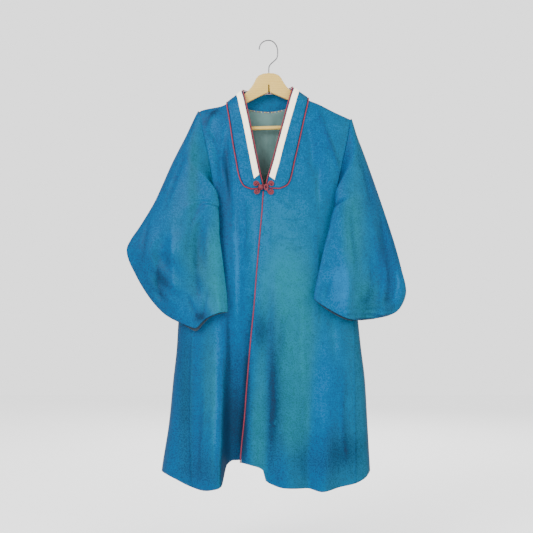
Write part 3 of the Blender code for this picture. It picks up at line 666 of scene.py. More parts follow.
# Wooden hanger: half of its outline, from the middle of its top round to the slot below
HANGER_HALF_THICKNESS = 5.5
HANGER_TILT = math.radians(1.5)
# A web closing the slot at the back, its near black wood painted shade
SLOT_WEB_SIZE = (4.6, 3.0, 24.0)
SLOT_WEB_BACK = 2.4
SLOT_WEB_HEIGHT = -121.0
HANGER_OUTLINE = (
    (0, -82), (13, -83), (25, -87.5), (32, -95), (37.5, -106), (45, -117.5), (56, -128.5),
    (76, -145), (102, -164), (131, -176), (156, -190), (167, -196.5), (172, -200), (173, -214),
    (171, -227), (163, -231), (150, -231), (150, -213), (128, -196), (98, -178), (56, -156),
    (24, -141), (3.5, -132), (1.4, -129), (1.2, -112),
)
BAR_HEIGHT = -221.5
BAR_RADIUS = 5.0
BAR_HALF_LENGTH = 149.7
PIVOT_HEIGHT = -82

# Steel hook
HOOK_RADIUS = 1.5
HOOK_ROUTE = (
    (0.6, -81.7), (0.8, -74), (1.4, -66), (5, -59.5), (12, -53), (19, -46.5), (22.3, -40),
    (23.3, -31), (22.8, -21), (19.6, -11), (13.2, -3), (4.5, 1.3), (-4.5, 1.3), (-12.6, -1.5),
    (-19, -7), (-22.6, -14), (-23.6, -20.5),
)


# Thickness of the shown satin with its lining, and how finely the shells are divided
SHELL_THICKNESS = 1.6
SLEEVE_THICKNESS = 0.8
FRONT_COLUMNS = 86
FRONT_SKIRT_ROWS = 230
BACK_COLUMNS = 66
BACK_SKIRT_ROWS = 200
GORE_FINE_COLUMNS = 33
GORE_ROWS = 190
SLEEVE_FINE = 8
SLEEVE_AROUND = 6
SEAM_GROOVE = (3.2, 0.7)

# The band's rounded edge and its line of stitches, and the strip's soft edge
BAND_ROWS = 241
BAND_FINE_COLUMNS = 25
BAND_ROUND = 2.2
BAND_EDGE = 0.25
BAND_STITCH_DEPTH = 0.35
BAND_STITCH_IN = 4.2
BAND_STITCH_WIDTH = 0.9
STRIP_ROWS = 201
STRIP_COLUMNS = 13
STRIP_SAMPLES = 97
STRIP_EDGE = 0.6
STRIP_CROWN = 0.5

# How the satin's colour turns: the level of its painted light, how far facing, upward slant, crease height
# and patches shift it as painted light and shade, and how far its shot green turns
PAINTED_LIGHT_LEVEL = 0.25
PAINTED_LIGHT_FACING = 0.37
PAINTED_LIGHT_UPWARDS = 0.12
PAINTED_LIGHT_RISE = 0.075
RISE_LIMIT = 4.0
LEAN_LEVEL = 0.42
LEAN_SIDEWAYS = 0.5
PATCH_GREEN = 0.75
PATCH_PAINTED_SHADE = 0.5

# Cords and wires: how they turn, how their ends are capped and how their strands stand out
STEEP = 0.9
CAP_ANGLES = (0.4, 0.8, 1.3)
JOIN_DISTANCE = 1e-6
LOOP_POINTS = 96
LOOP_TWISTS = 7
PIPING_STEP = 0.7
PIPING_PITCH = 5.2
KNOT_WINDINGS = ((1.0, 0.2, 0.9), (-0.9, 0.3, 1.0), (0.2, 1.0, 0.1))

CREASES_LEFT = table(
    Crease,
    (((-120, -171), (-143, -187), (-160, -216)), -3.6, 3.2),
    (((-107, -250), (-99, -350), (-92, -462)), -3.0, 5.0, 1.4),
    (((-86, -425), (-79, -560), (-80, -740)), 2.6, 6.0),
    (((-128, -700), (-131, -900), (-136, -1115)), 2.4, 7.0),
    (((-170, -222), (-142, -250), (-116, -305)), -1.6, 4.0),
    (((-101, -206), (-112, -244), (-121, -310), (-119, -385)), 1.6, 5.0),
    (((-60, -395), (-56, -470), (-60, -560)), -1.4, 4.0),
    (((-40, -400), (-34, -520), (-38, -690)), 1.3, 6.0),
    (((-150, -430), (-152, -560), (-160, -700)), -1.5, 5.0),
    (((-104, -560), (-106, -700), (-100, -860)), -2.0, 5.0, 1.6),
    (((-160, -880), (-166, -990), (-172, -1110)), -1.6, 6.0),
)
CREASES_RIGHT = table(
    Crease,
    (((118, -160), (148, -236), (170, -299), (184, -353)), -2.4, 4.0, 1.5),
    (((24, -450), (60, -458), (102, -449)), -1.1, 3.0),
    (((30, -474), (66, -482), (109, -470)), -0.9, 2.6),
    (((24, -498), (58, -506), (92, -499)), -1.1, 3.2),
    (((34, -524), (70, -532), (104, -520)), -0.8, 2.6),
    (((28, -548), (60, -557), (96, -549)), -1.0, 3.0),
    (((8, -770), (12, -900), (6, -1100)), -3.0, 9.0),
    (((30, -690), (36, -745), (32, -800)), -1.8, 8.0),
    (((162, -690), (168, -760), (172, -830)), 1.8, 12.0),
    (((16, -398), (50, -424), (92, -438)), -1.4, 3.5),
    (((-4, -402), (6, -480), (4, -570)), -1.4, 4.0),
    (((130, -300), (126, -380), (132, -450)), 1.4, 6.0),
    (((96, -205), (108, -262), (112, -330)), 1.3, 5.0),
    (((120, -470), (128, -600), (122, -740)), -1.8, 5.5, 1.4),
    (((190, -840), (186, -950), (194, -1080)), -1.9, 7.0),
    (((84, -640), (80, -760), (86, -900)), 1.6, 6.0),
)
CREASES_BACK = table(
    Crease,
    (((-120, -190), (-100, -270), (-86, -380)), -2.0, 5.0, 1.4),
    (((140, -200), (118, -290), (104, -400)), -2.0, 5.0, 1.4),
    (((-60, -300), (-40, -340), (0, -352), (44, -338)), -1.2, 5.0),
    (((-90, -430), (-84, -560), (-92, -720)), 1.8, 7.0),
    (((90, -440), (96, -580), (88, -760)), 1.8, 7.0),
    (((-140, -460), (-150, -600), (-146, -760)), -1.8, 5.0),
    (((150, -450), (158, -610), (150, -790)), -1.8, 5.0),
    (((-30, -700), (-22, -860), (-30, -1040)), -1.6, 6.0),
    (((24, -640), (30, -800), (22, -960)), 1.4, 6.0),
    (((110, -820), (104, -940), (112, -1080)), -1.7, 6.0),
    (((-110, -780), (-116, -900), (-108, -1060)), 1.6, 6.0),
)
CREASES_SLEEVE_LEFT = table(
    Crease,
    (((-277, -545), (-279, -610), (-270, -664)), -1.8, 5.0),
    (((-240, -470), (-242, -560), (-232, -650)), 1.8, 6.0),
    (((-178, -480), (-180, -570), (-176, -662)), -1.8, 5.0, 1.5),
    (((-130, -600), (-126, -650), (-120, -690)), 1.6, 6.0),
    (((-267, -645), (-250, -655), (-232, -664)), 1.2, 3.0),
    (((-171, -722), (-184, -690), (-206, -640)), -1.6, 4.0),
    (((-171, -722), (-160, -680), (-152, -620)), -1.4, 4.0),
    (((-196, -260), (-232, -340), (-262, -430)), -1.8, 6.0),
    (((-300, -440), (-312, -500), (-318, -560)), -1.6, 5.0),
    (((-160, -400), (-196, -470), (-206, -560)), -1.4, 5.0),
)
CREASES_SLEEVE_RIGHT = table(
    Crease,
    (((190, -560), (196, -620), (192, -690)), 1.8, 8.0),
    (((252, -540), (258, -610), (250, -690)), -1.8, 7.0),
    (((290, -540), (294, -600), (282, -680)), 1.6, 5.0),
    (((304, -580), (306, -620), (296, -668)), -1.6, 4.0),
    (((326, -584), (330, -620), (318, -664)), 1.3, 4.0),
    (((212, -250), (240, -330), (262, -420)), -1.8, 6.0),
    (((160, -600), (150, -630), (140, -664)), -1.5, 5.0),
    (((206, -420), (212, -500), (222, -590)), -1.7, 5.0),
    (((276, -420), (288, -470), (300, -530)), -1.4, 5.0),
)
CREASES_BAND = table(
    Crease,
    (((-92, -225), (-70, -236)), -0.5, 3.0),
    (((78, -230), (50, -244)), -0.5, 3.0),
    (((-70, -330), (-40, -338)), -0.4, 2.6),
)
CREASES_LINING = table(
    Crease,
    (((-40, -200), (-30, -260), (-36, -340)), 1.0, 6.0),
    (((20, -190), (16, -250), (24, -330)), -0.7, 6.0),
    (((0, -210), (-6, -280), (0, -360)), 0.8, 5.0),
)

# Soft patches of the body: green turns the shot satin, deep paints shade on it, and light where it is
# negative
SHOT_AND_SHADE_PATCHES_BODY = table(
    ShotAndShadePatch,
    (60, -760, 60, 190, 0.85, 0.0),
    (52, -960, 46, 120, 0.5, 0.12),
    (-24, -1000, 22, 130, 0.7, 0.1),
    (150, -900, 40, 150, -0.5, -0.1),
    (30, -600, 60, 90, 0.25, -0.3),
    (-90, -620, 32, 210, -0.8, 0.05),
    (-86, -960, 28, 150, -0.5, 0.9),
    (-54, -860, 9, 90, 0.0, 0.9),
    (-62, -1000, 9, 70, 0.0, 0.9),
    (-150, -860, 22, 160, 0.6, 0.1),
    (-210, -900, 24, 200, 0.55, 0.45),
    (-112, -330, 16, 120, -0.5, 0.35),
    (-120, -480, 20, 90, -0.4, 0.4),
    (14, -880, 20, 170, 0.0, 0.55),
    (-20, -735, 20, 44, 0.0, 0.6),
    (190, -1040, 50, 50, 0.2, 0.6),
    (100, -1060, 60, 50, -0.2, 0.35),
    (-150, -1080, 60, 46, 0.2, 0.35),
    (120, -260, 34, 80, -0.2, 0.1),
    (-160, -208, 10, 22, 0.0, 0.55),
    (-138, -184, 22, 9, 0.0, 0.55),
    (20, -450, 60, 50, 0.1, -0.2),
)
# Soft patches of the sleeves: green turns the shot satin, deep paints shade on it, and light where it is
# negative
SHOT_AND_SHADE_PATCHES_SLEEVE = table(
    ShotAndShadePatch,
    (-130, -600, 26, 110, 0.9, -0.1),
    (-180, -560, 30, 90, 0.5, 0.3),
    (-276, -610, 34, 60, 0.2, 0.5),
    (-240, -440, 40, 90, 0.25, 0.0),
    (-190, -330, 14, 100, 0.6, 0.25),
    (-320, -530, 24, 60, 0.0, 0.3),
    (-168, -700, 17, 12, 0.0, 0.9),
    (250, -660, 30, 50, 0.7, 0.3),
    (210, -480, 26, 120, 0.45, 0.0),
    (180, -620, 26, 60, -0.5, -0.3),
    (300, -560, 28, 110, -0.6, 0.35),
    (266, -360, 24, 100, -0.4, 0.1),
    (330, -620, 16, 50, -0.4, -0.3),
)

# Deep, middle and light are painted shade, mid tone and painted light of the one blue; deep also darkens its
# specks and wear
SATIN = SatinFinish(
    name="blue satin",
    deep=(0.0, 0.011, 0.033),
    middle=(0.0, 0.038, 0.112),
    light=(0.0, 0.135, 0.31),
    other=(0.0, 0.11, 0.125),
    roughness=0.5,
    sheen=0.01,
    figure_mm=6.0,
)
LINING_FINISH = ClothFinish("green lining", (0.03, 0.075, 0.07), (0.07, 0.155, 0.145), 0.5, 0.1, 0.5, 0.25)
# The inside of the sleeves is painted shade: a dark blue in place of the green lining
SLEEVE_LINING_IN_PAINTED_SHADE = ClothFinish("sleeve lining", (0.0, 0.01, 0.022), (0.0, 0.022, 0.05), 0.6, 0.0, 0.5, 0.25)
STRIP_FINISH = ClothFinish("cream strip", (0.95, 0.82, 0.58), (1.0, 0.96, 0.78), 0.7, 0.05, 0.6, 0.3)
PIPING_FINISH = ClothFinish("crimson piping", (0.08, 0.0, 0.01), (0.21, 0.0, 0.017), 0.6, 0.02, 0.5, 0.4)
CORD_FINISH = ClothFinish("crimson cord", (0.055, 0.0, 0.005), (0.155, 0.0, 0.012), 0.5, 0.02, 0.5, 0.4)
BALL_FINISH = replace(CORD_FINISH, name="crimson ball")
THREAD_FINISHES = table(
    ClothFinish,
    ("crimson thread", (0.3, 0.0, 0.02), (0.55, 0.01, 0.05), 0.6, 0.1, 0.4, 0.2),
    ("cream thread", (0.6, 0.5, 0.25), (0.85, 0.75, 0.45), 0.6, 0.1, 0.4, 0.2),
    ("violet thread", (0.06, 0.03, 0.3), (0.16, 0.08, 0.55), 0.6, 0.1, 0.4, 0.2),
    ("yellow thread", (0.5, 0.26, 0.01), (0.8, 0.45, 0.03), 0.6, 0.1, 0.4, 0.2),
)
WOOD_FINISH = WoodFinish("pale wood", (0.5, 0.33, 0.062), (0.41, 0.25, 0.04), 0.42, 0.3, 6.0)
# Near black wood in the hanger's slot is painted shade
SLOT_PAINTED_SHADE_FINISH = WoodFinish("shaded wood", (0.015, 0.01, 0.005), (0.008, 0.005, 0.003), 0.8, 0.0, 6.0)
STEEL_FINISH = WireFinish("hook steel", (0.12, 0.12, 0.125), (0.065, 0.065, 0.07), 0.28, 3.0)

LAMPS = (
    Lamp("key", (-1.6, -2.4, 0.9), 1.2, 100.0, (1.0, 1.0, 1.0)),
    Lamp("fill", (1.9, -2.2, 0.2), 1.8, 32.0, (1.0, 1.0, 1.0)),
    Lamp("back light", (0.4, 2.4, 0.6), 1.8, 50.0, (1.0, 1.0, 1.0)),
)
SURROUND_STRENGTH = 1.9
FLOOR_HEIGHT = -1.34
CAMERA_PLACE = (-0.0051, -3.0, -0.575)
CAMERA_ANGLE = 25.53
# The cut of what shows of each sheet, in millimetres and square metres, and what it hangs from
SHEETS = (
    SheetCut("back_left_satin", 206, 934, "hung", ("hanger_arms_wood",), 0.178),
    SheetCut("back_right_satin", 240, 962, "hung", ("hanger_arms_wood",), 0.197),
    SheetCut("front_left_satin", 260, 986, "hung", ("hanger_arms_wood",), 0.163),
    SheetCut("front_right_satin", 332, 987, "hung", ("hanger_arms_wood",), 0.221),
    SheetCut("gore_left_satin", 220, 687, "hung", ("front_left_satin", "back_left_satin"), 0.0782),
    SheetCut("gore_right_satin", 130, 682, "hung", ("front_right_satin", "back_right_satin"), 0.0484),
    SheetCut("sleeve_left_satin", 612, 638, "hung", ("front_left_satin", "back_left_satin"), 0.179),
    SheetCut("sleeve_right_satin", 553, 638, "hung", ("front_right_satin", "back_right_satin"), 0.153),
    SheetCut("neck_band_satin", 57, 756, "hung", ("front_left_satin", "front_right_satin"), 0.036),
    SheetCut("collar_strip_cloth", 20, 667, "hung", ("neck_band_satin",), 0.01),
    SheetCut("back_lining_cloth", 147, 293, "hung", ("back_left_satin", "back_right_satin"), 0.0402),
)


@dataclass(frozen=True)
class HalfCut:
    """Which tables shape one half of the coat."""

    yoke: tuple[YokeRow, ...]
    edge: tuple[LineRow, ...]
    arm: tuple[LineRow, ...]
    seam: tuple[LineRow, ...]
    folds: tuple[Fold, ...]
    creases: tuple[Crease, ...]
    sleeve: tuple[SleeveRow, ...]
    cuff: tuple[CuffRow, ...]
    sleeve_folds: tuple[Fold, ...]
    sleeve_creases: tuple[Crease, ...]


CUTS = {
    Side.LEFT: HalfCut(
        YOKE_LEFT,
        FRONT_EDGE_LEFT,
        ARM_BACK_LEFT,
        GORE_SEAM_LEFT,
        FOLDS_LEFT,
        CREASES_LEFT,
        SLEEVE_LEFT,
        CUFF_LEFT,
        FOLDS_SLEEVE_LEFT,
        CREASES_SLEEVE_LEFT,
    ),
    Side.RIGHT: HalfCut(
        YOKE_RIGHT,
        FRONT_EDGE_RIGHT,
        ARM_BACK_RIGHT,
        GORE_SEAM_RIGHT,
        FOLDS_RIGHT,
        CREASES_RIGHT,
        SLEEVE_RIGHT,
        CUFF_RIGHT,
        FOLDS_SLEEVE_RIGHT,
        CREASES_SLEEVE_RIGHT,
    ),
}


def relief(folds: Sequence[Fold], x: Array, z: Array) -> Array:
    """Adds up how far the broad folds carry the cloth outwards.

    Args:
        folds: The folds of this panel or sleeve.
        x: Places across.
        z: Their heights.

    Returns:
        The rise at each place.
    """
    total = np.zeros_like(x, float)
    for fold in folds:
        along = (z - fold.top_z) / (fold.foot_z - fold.top_z)
        inside = np.clip(along, 0.0, 1.0)
        centre = fold.top_x + (fold.foot_x - fold.top_x) * along
        width = np.where(x < centre, fold.left_width, fold.right_width)
        if fold.growth is Growth.FADES:
            strength = np.sin(np.pi * inside)
        elif fold.growth is Growth.GROWS:
            strength = inside**GROWTH
        else:
            strength = np.minimum(inside / EVEN_START, 1.0)
        total += fold.rise * strength * np.exp(-(((x - centre) / width) ** 2))
    return total


def crease_height(creases: Sequence[Crease], x: Array, z: Array) -> Array:
    """Adds up the narrow creases, each strongest in the middle of its path and softer on its lean side.

    Args:
        creases: The creases of this panel or sleeve.
        x: Places across.
        z: Their heights.

    Returns:
        The rise at each place.
    """
    total = np.zeros_like(x, float)
    for crease in creases:
        path = np.asarray(crease.path, float)
        lengths = lengths_along(path)
        nearest = np.full(x.shape, 1e9)
        along = np.zeros_like(x, float)
        lean = np.ones_like(x, float)
        for k in range(len(path) - 1):
            start, step = path[k], path[k + 1] - path[k]
            reach = float(step @ step)
            t = np.clip(((x - start[0]) * step[0] + (z - start[1]) * step[1]) / reach, 0.0, 1.0)
            dx, dz = x - start[0] - t * step[0], z - start[1] - t * step[1]
            distance = np.hypot(dx, dz)
            closer = distance < nearest
            side = dx * step[1] - dz * step[0]
            nearest = np.where(closer, distance, nearest)
            along = np.where(closer, lengths[k] + t * (lengths[k + 1] - lengths[k]), along)
            lean = np.where(closer, np.where(side > 0, crease.lean, 1.0), lean)
        share = along / lengths[-1]
        taper = np.sin(np.pi * np.clip(share, 0.0, 1.0)) ** 0.7
        total += crease.rise * taper * np.exp(-((nearest / (crease.width * lean)) ** 2))
    return total


class BodyForm:
    """The hung body of the coat: its plan section at each height, its shoulder line, folds and hem."""

    def __init__(self) -> None:
        """Reads the tables once."""
        names = ("left", "right", "front", "back", "squareness")
        self.columns = {name: column(BODY, name, "height") for name in names}
        self.shoulder = column(SHOULDER, "height", "x")
        hems = {("left", True): HEM_LEFT, ("right", True): HEM_RIGHT, ("back", False): HEM_BACK}
        self.hems = {key: column(rows, "height", "x") for key, rows in hems.items()}
        self.lines = {
            id(rows): column(rows, "x", "height")
            for rows in (FRONT_EDGE_LEFT, FRONT_EDGE_RIGHT, GORE_SEAM_LEFT, GORE_SEAM_RIGHT, CENTRE_BACK)
        }

    def size(self, z: Array) -> tuple[Array, ...]:
        """Reads the size of the plan section.

        Args:
            z: The heights.

        Returns:
            Middle, half width, front depth, back depth and squareness at each height.
        """
        left, right, front, back, square = (read(z) for read in self.columns.values())
        return (left + right) / 2, (right - left) / 2, front, back, square

    def depth(self, x: Array, z: Array, side: Side, front: bool) -> Array:
        """Depth of the body's outer face in front of the hanger's middle plane.

        Args:
            x: Places across.
            z: Their heights.
            side: Which front's folds to add.
            front: The front of the body, or its back.

        Returns:
            The depths, which are negative at the back.
        """
        middle, half, front_depth, back_depth, square = self.size(z)
        across = np.minimum(np.abs(x - middle) / half, 1.0)
        bulge = (1 - across**square) ** (1 / square)
        drop = np.clip((self.shoulder(x) - z) / RISE_DEPTH, 0.0, 1.0)
        rise = (1 - (1 - drop) ** RISE_POWER) ** (1 / RISE_POWER)
        folds = CUTS[side].folds if front else FOLDS_BACK
        found = (front_depth if front else back_depth) * bulge * rise
        found = found + relief(folds, x, z) * np.minimum(1.0, bulge * FOLD_REACH)
        return found if front else -found

    def depth_at(self, x: float, z: float, side: Side, front: bool) -> float:
        """Depth of the body's outer face at one place.

        Args:
            x: Place across.
            z: Its height.
            side: Which front's folds to add.
            front: The front of the body, or its back.

        Returns:
            The depth, which is negative at the back.
        """
        return self.depth(np.array([float(x)]), np.array([float(z)]), side, front)[0]

    def x_at_angle(self, angle: Array, z: Array) -> Array:
        """Finds where a ray from the middle meets the plan section.

        Args:
            angle: The ray's angle: 0 is the right side edge.
            z: The heights.

        Returns:
            The places across.
        """
        middle, half, _, _, square = self.size(z)
        cosine = np.cos(angle)
        return middle + half * np.copysign(np.abs(cosine) ** (2 / square), cosine)

    def angle_at_x(self, x: Array, z: Array, front: bool) -> Array:
        """Finds the angle of the ray through a place.

        Args:
            x: Places across.
            z: Their heights.
            front: Whether they are on the front.

        Returns:
            The angles.
        """
        middle, half, _, _, square = self.size(z)
        across = np.clip((x - middle) / half, -1.0, 1.0)
        angle = np.arccos(np.copysign(np.abs(across) ** (square / 2), across))
        return angle if front else -angle

    def with_hem(self, x: Array, z: Array, side: Side, front: bool) -> Array:
        """Moves heights so that the lowest level follows the hem line.

        Args:
            x: Places across.
            z: Their heights.
            side: The side that they are on.
            front: Whether they are on the front.

        Returns:
            The new heights.
        """
        hem = self.hems[(side.value, True) if front else ("back", False)]
        blend = np.clip((HEM + HEM_BLEND - z) / HEM_BLEND, 0.0, 1.0) ** HEM_POWER
        return z + (hem(x) - HEM) * blend

    def skirt(self, side: Side, first: Edge, last: Edge) -> Surface:
        """Makes the surface of a panel below the underarm.

        Args:
            side: The half that the panel is in.
            first: Its first edge, and whether that is on the front.
            last: Its last edge, and whether that is on the front.

        Returns:
            A function of places across and down, each from 0 to 1.
        """
        first_line, last_line = self.lines[id(first[0])], self.lines[id(last[0])]
        wraps = first[1] != last[1] and side is Side.LEFT

        def surface(across: Array, down: Array) -> Array:
            """Reads points of the surface.

            Args:
                across: Shares of the way across.
                down: Places down it.

            Returns:
                The points in millimetres.
            """
            z = UNDERARM + (HEM - UNDERARM) * down
            start = self.angle_at_x(first_line(z), z, first[1])
            end = self.angle_at_x(last_line(z), z, last[1]) + (2 * np.pi if wraps else 0.0)
            angle = start + (end - start) * across
            x = self.x_at_angle(angle, z)
            on_front = np.sin(angle) >= 0
            depth = np.where(on_front, self.depth(x, z, side, True), self.depth(x, z, side, False))
            hem = np.where(on_front, self.with_hem(x, z, side, True), self.with_hem(x, z, side, False))
            return np.stack([x, -depth, hem], axis=-1)

        return surface

    def front(self, side: Side) -> Surface:
        """Makes a whole front's surface: down runs over the rows of its yoke, then over the skirt.

        Args:
            side: Which front.

        Returns:
            The surface.
        """
        cut = CUTS[side]
        skirt = self.skirt(side, (cut.edge, True), (cut.seam, True))
        necks = np.array([(r.neck_x, r.neck_z) for r in cut.yoke], float)
        arms = np.array([(r.arm_x, r.arm_z) for r in cut.yoke], float)
        last_row = len(cut.yoke) - 1

        def surface(across: Array, down: Array) -> Array:
            """Reads points of the surface.

            Args:
                across: Shares of the way across.
                down: Places down it.

            Returns:
                The points in millimetres.
            """
            above = np.minimum(down, last_row)
            neck, arm = through(necks, above), through(arms, above)
            start = self.angle_at_x(neck[..., 0], neck[..., 1], True)
            end = self.angle_at_x(arm[..., 0], arm[..., 1], True)
            line = neck[..., 1] + (arm[..., 1] - neck[..., 1]) * across
            x = self.x_at_angle(start + (end - start) * across, line)
            share = (x - neck[..., 0]) / (arm[..., 0] - neck[..., 0])
            z = neck[..., 1] + (arm[..., 1] - neck[..., 1]) * share
            z = z + (self.shoulder(x) - z) * np.maximum(0.0, 1 - down)
            upper = np.stack([x, -self.depth(x, z, side, True), z], axis=-1)
            lower = skirt(across, np.maximum(down - last_row, 0.0) / SKIRT_LEVELS)
            return np.where((down > last_row)[..., None], lower, upper)

        return surface

    def back(self, side: Side) -> Surface:
        """Makes a half back's surface: down runs over the rows above the underarm, then over the skirt.

        Args:
            side: Which half.

        Returns:
            The surface.
        """
        arm = CUTS[side].arm
        skirt = self.skirt(side, (CENTRE_BACK, False), (CUTS[side].seam, False))
        arm_line, neckline = column(arm, "x", "height"), column(NECKLINE, "height", "x")
        arm_top, middle_x = arm[-1].height, CENTRE_BACK[-1].x

        def surface(across: Array, down: Array) -> Array:
            """Reads points of the surface.

            Args:
                across: Shares of the way across.
                down: Places down it.

            Returns:
                The points in millimetres.
            """
            share = np.minimum(down / BACK_YOKE_ROWS, 1.0)
            arm_z = arm_top + (UNDERARM - arm_top) * share
            start = self.angle_at_x(np.full_like(arm_z, middle_x), np.full_like(arm_z, UNDERARM), False)
            end = self.angle_at_x(arm_line(arm_z), arm_z, False)
            x = self.x_at_angle(start + (end - start) * across, UNDERARM + (arm_z - UNDERARM) * across)
            inside = (x > NECKLINE[0].x) & (x < NECKLINE[-1].x)
            top = np.where(inside, neckline(x), self.shoulder(x))
            z = top + (UNDERARM - top) * share
            upper = np.stack([x, -self.depth(x, z, side, False), z], axis=-1)
            lower = skirt(across, np.maximum(down - BACK_YOKE_ROWS, 0.0) / SKIRT_LEVELS)
            return np.where((down > BACK_YOKE_ROWS)[..., None], lower, upper)

        return surface

    def gore(self, side: Side) -> Surface:
        """Makes a side gore's surface, down from the underarm.

        Args:
            side: Which gore.

        Returns:
            The surface.
        """
        seam = CUTS[side].seam
        return self.skirt(side, (seam, True), (seam, False))


def grid_normals(grid: Array, wraps: bool = False) -> Array:
    """Unit normals of a grid of points: along a row crossed with down the rows.

    Args:
        grid: The points, as rows of columns.
        wraps: Whether the columns run right round.

    Returns:
        A normal for each point.
    """
    if wraps:
        along = np.roll(grid, -1, axis=1) - np.roll(grid, 1, axis=1)
    else:
        along = np.gradient(grid, axis=1)
    return unit(np.cross(along, np.gradient(grid, axis=0)))


def lengths_along(path: Array) -> Array:
    """Measures how far along a path each of its points is.

    Args:
        path: The points.

    Returns:
        The distances from the first point.
    """
    return np.concatenate([[0.0], np.cumsum(np.linalg.norm(np.diff(path, axis=0), axis=1))])


def arc_lengths(grid: Array) -> tuple[Array, Array]:
    """Measures distances over a grid, for its UV map.

    Args:
        grid: Its points.

    Returns:
        The distances along each row and down each column, in millimetres.
    """
    across = np.zeros(grid.shape[:2])
    down = np.zeros(grid.shape[:2])
    across[:, 1:] = np.cumsum(np.linalg.norm(np.diff(grid, axis=1), axis=2), axis=1)
    down[1:] = np.cumsum(np.linalg.norm(np.diff(grid, axis=0), axis=2), axis=0)
    return across, down


def store(bm: bmesh.types.BMesh, mesh: Mesh) -> None:
    """Writes a finished bmesh to a mesh, shaded smooth.

    Args:
        bm: The bmesh, which is freed.
        mesh: The mesh.
    """
    bm.to_mesh(mesh)
    bm.free()
    mesh.shade_smooth()


def grid_mesh(
    name: str, grid: Array, wraps: bool = False, uvs: tuple[Array, Array] | None = None
) -> Mesh:
    """Makes a mesh by moving the corners of a bmesh grid onto an array of points.

    Args:
        name: The mesh's name.
        grid: The points in millimetres, as rows of columns.
        wraps: Whether its columns run right round and are welded there.
        uvs: Distances across and down in millimetres for the UV map, or None to measure them here.

    Returns:
        The mesh, in metres.
    """
    across, down = arc_lengths(grid) if uvs is None else uvs
    if wraps:
        grid = np.concatenate([grid, grid[:, :1]], axis=1)
        step = np.linalg.norm(grid[:, -1] - grid[:, -2], axis=1)
        across = np.concatenate([across, across[:, -1:] + step[:, None]], axis=1)
        down = np.concatenate([down, down[:, :1]], axis=1)
    rows, columns = grid.shape[:2]
    bm = bmesh.new()
    made = bmesh.ops.create_grid(bm, x_segments=columns - 1, y_segments=rows - 1, size=0.5)["verts"]
    layer = bm.loops.layers.uv.new("cloth_mm")
    bm.verts.ensure_lookup_table()
    places = {}
    for vert in made:
        j = round((vert.co.x + 0.5) * (columns - 1))
        i = rows - 1 - round((vert.co.y + 0.5) * (rows - 1))
        places[vert] = (i, j)
    for face in bm.faces:
        for loop in face.loops:
            i, j = places[loop.vert]
            loop[layer].uv = (across[i, j] * MM, -down[i, j] * MM)
    for vert, (i, j) in places.items():
        vert.co = Vector(grid[i, j]) * MM
    if wraps:
        first = {i: vert for vert, (i, j) in places.items() if j == 0}
        last = {vert: first[i] for vert, (i, j) in places.items() if j == columns - 1}
        bmesh.ops.weld_verts(bm, targetmap=last)
    mesh = bpy.data.meshes.new(name)
    store(bm, mesh)
    return mesh


def bmesh_object(name: str, bm: bmesh.types.BMesh) -> Object:
    """Turns a finished bmesh into a scene object.

    Args:
        name: The object's name.
        bm: The mesh, in metres; it is freed.

    Returns:
        The object, in the scene's collection.
    """
    mesh = bpy.data.meshes.new(name)
    store(bm, mesh)
    return scene_object(name, mesh)


def scene_object(name: str, mesh: Mesh) -> Object:
    """Puts a mesh into the scene, lying at the origin unturned.

    Args:
        name: The object's name.
        mesh: Its mesh.

    Returns:
        The object.
    """
    made = bpy.data.objects.new(name, mesh)
    bpy.context.scene.collection.objects.link(made)
    return made


def add_thickness(piece: Object, thickness: float, offset: float, inner_slot: int = 0) -> None:
    """Gives a shell its cloth thickness.

    Args:
        piece: The shell.
        thickness: In millimetres.
        offset: -1 keeps the outer face where it is, 1 the inner one.
        inner_slot: How many material slots further on the inner face's material is.
    """
    solid = piece.modifiers.new("cloth thickness", "SOLIDIFY")
    solid.thickness = thickness * MM
    solid.offset = offset
    solid.use_even_offset = False
    solid.use_rim = True
    solid.material_offset = inner_slot
    solid.material_offset_rim = 0


def frames_along(path: Array) -> tuple[Array, Array]:
    """Carries an unturning frame along a path.

    Args:
        path: Its points.

    Returns:
        The two cross directions at each point.
    """
    tangents = unit(np.gradient(path, axis=0))
    up = np.array([0.0, 0.0, 1.0]) if abs(tangents[0][2]) < STEEP else np.array([0.0, -1.0, 0.0])
    sides = [unit(np.cross(tangents[0], up))]
    for tangent in tangents[1:]:
        sides.append(unit(sides[-1] - tangent * (sides[-1] @ tangent)))
    return np.array(sides), np.cross(tangents, np.array(sides))


def tube_grid(
    path: Array, radii: Array, around: int, lobes: int = 0, lobe_rise: float = 0.0, pitch: float = 1.0
) -> Array:
    """Points of a round tube along a path, with twisted strands raised on it if asked.

    Args:
        path: The middle line, in millimetres.
        radii: The tube's radius at each of its points.
        around: How many points go round.
        lobes: How many strands are twisted together.
        lobe_rise: How far they stand out.
        pitch: How far along the path one strand takes to go round.

    Returns:
        The points, as rows along the path of columns round it.
    """
    side, other = frames_along(path)
    lengths = lengths_along(path)
    angle = np.linspace(0, 2 * np.pi, around, endpoint=False)
    reach = np.broadcast_to(np.asarray(radii, float)[:, None], (len(path), around)).copy()
    if lobes:
        turn = lobes * angle[None] + 2 * np.pi * lengths[:, None] / pitch
        reach += lobe_rise * (np.abs(np.cos(turn / 2)) ** 0.6 - 0.75)
    ring = side[:, None] * np.cos(angle)[None, :, None] + other[:, None] * np.sin(angle)[None, :, None]
    return path[:, None] + ring * reach[..., None]


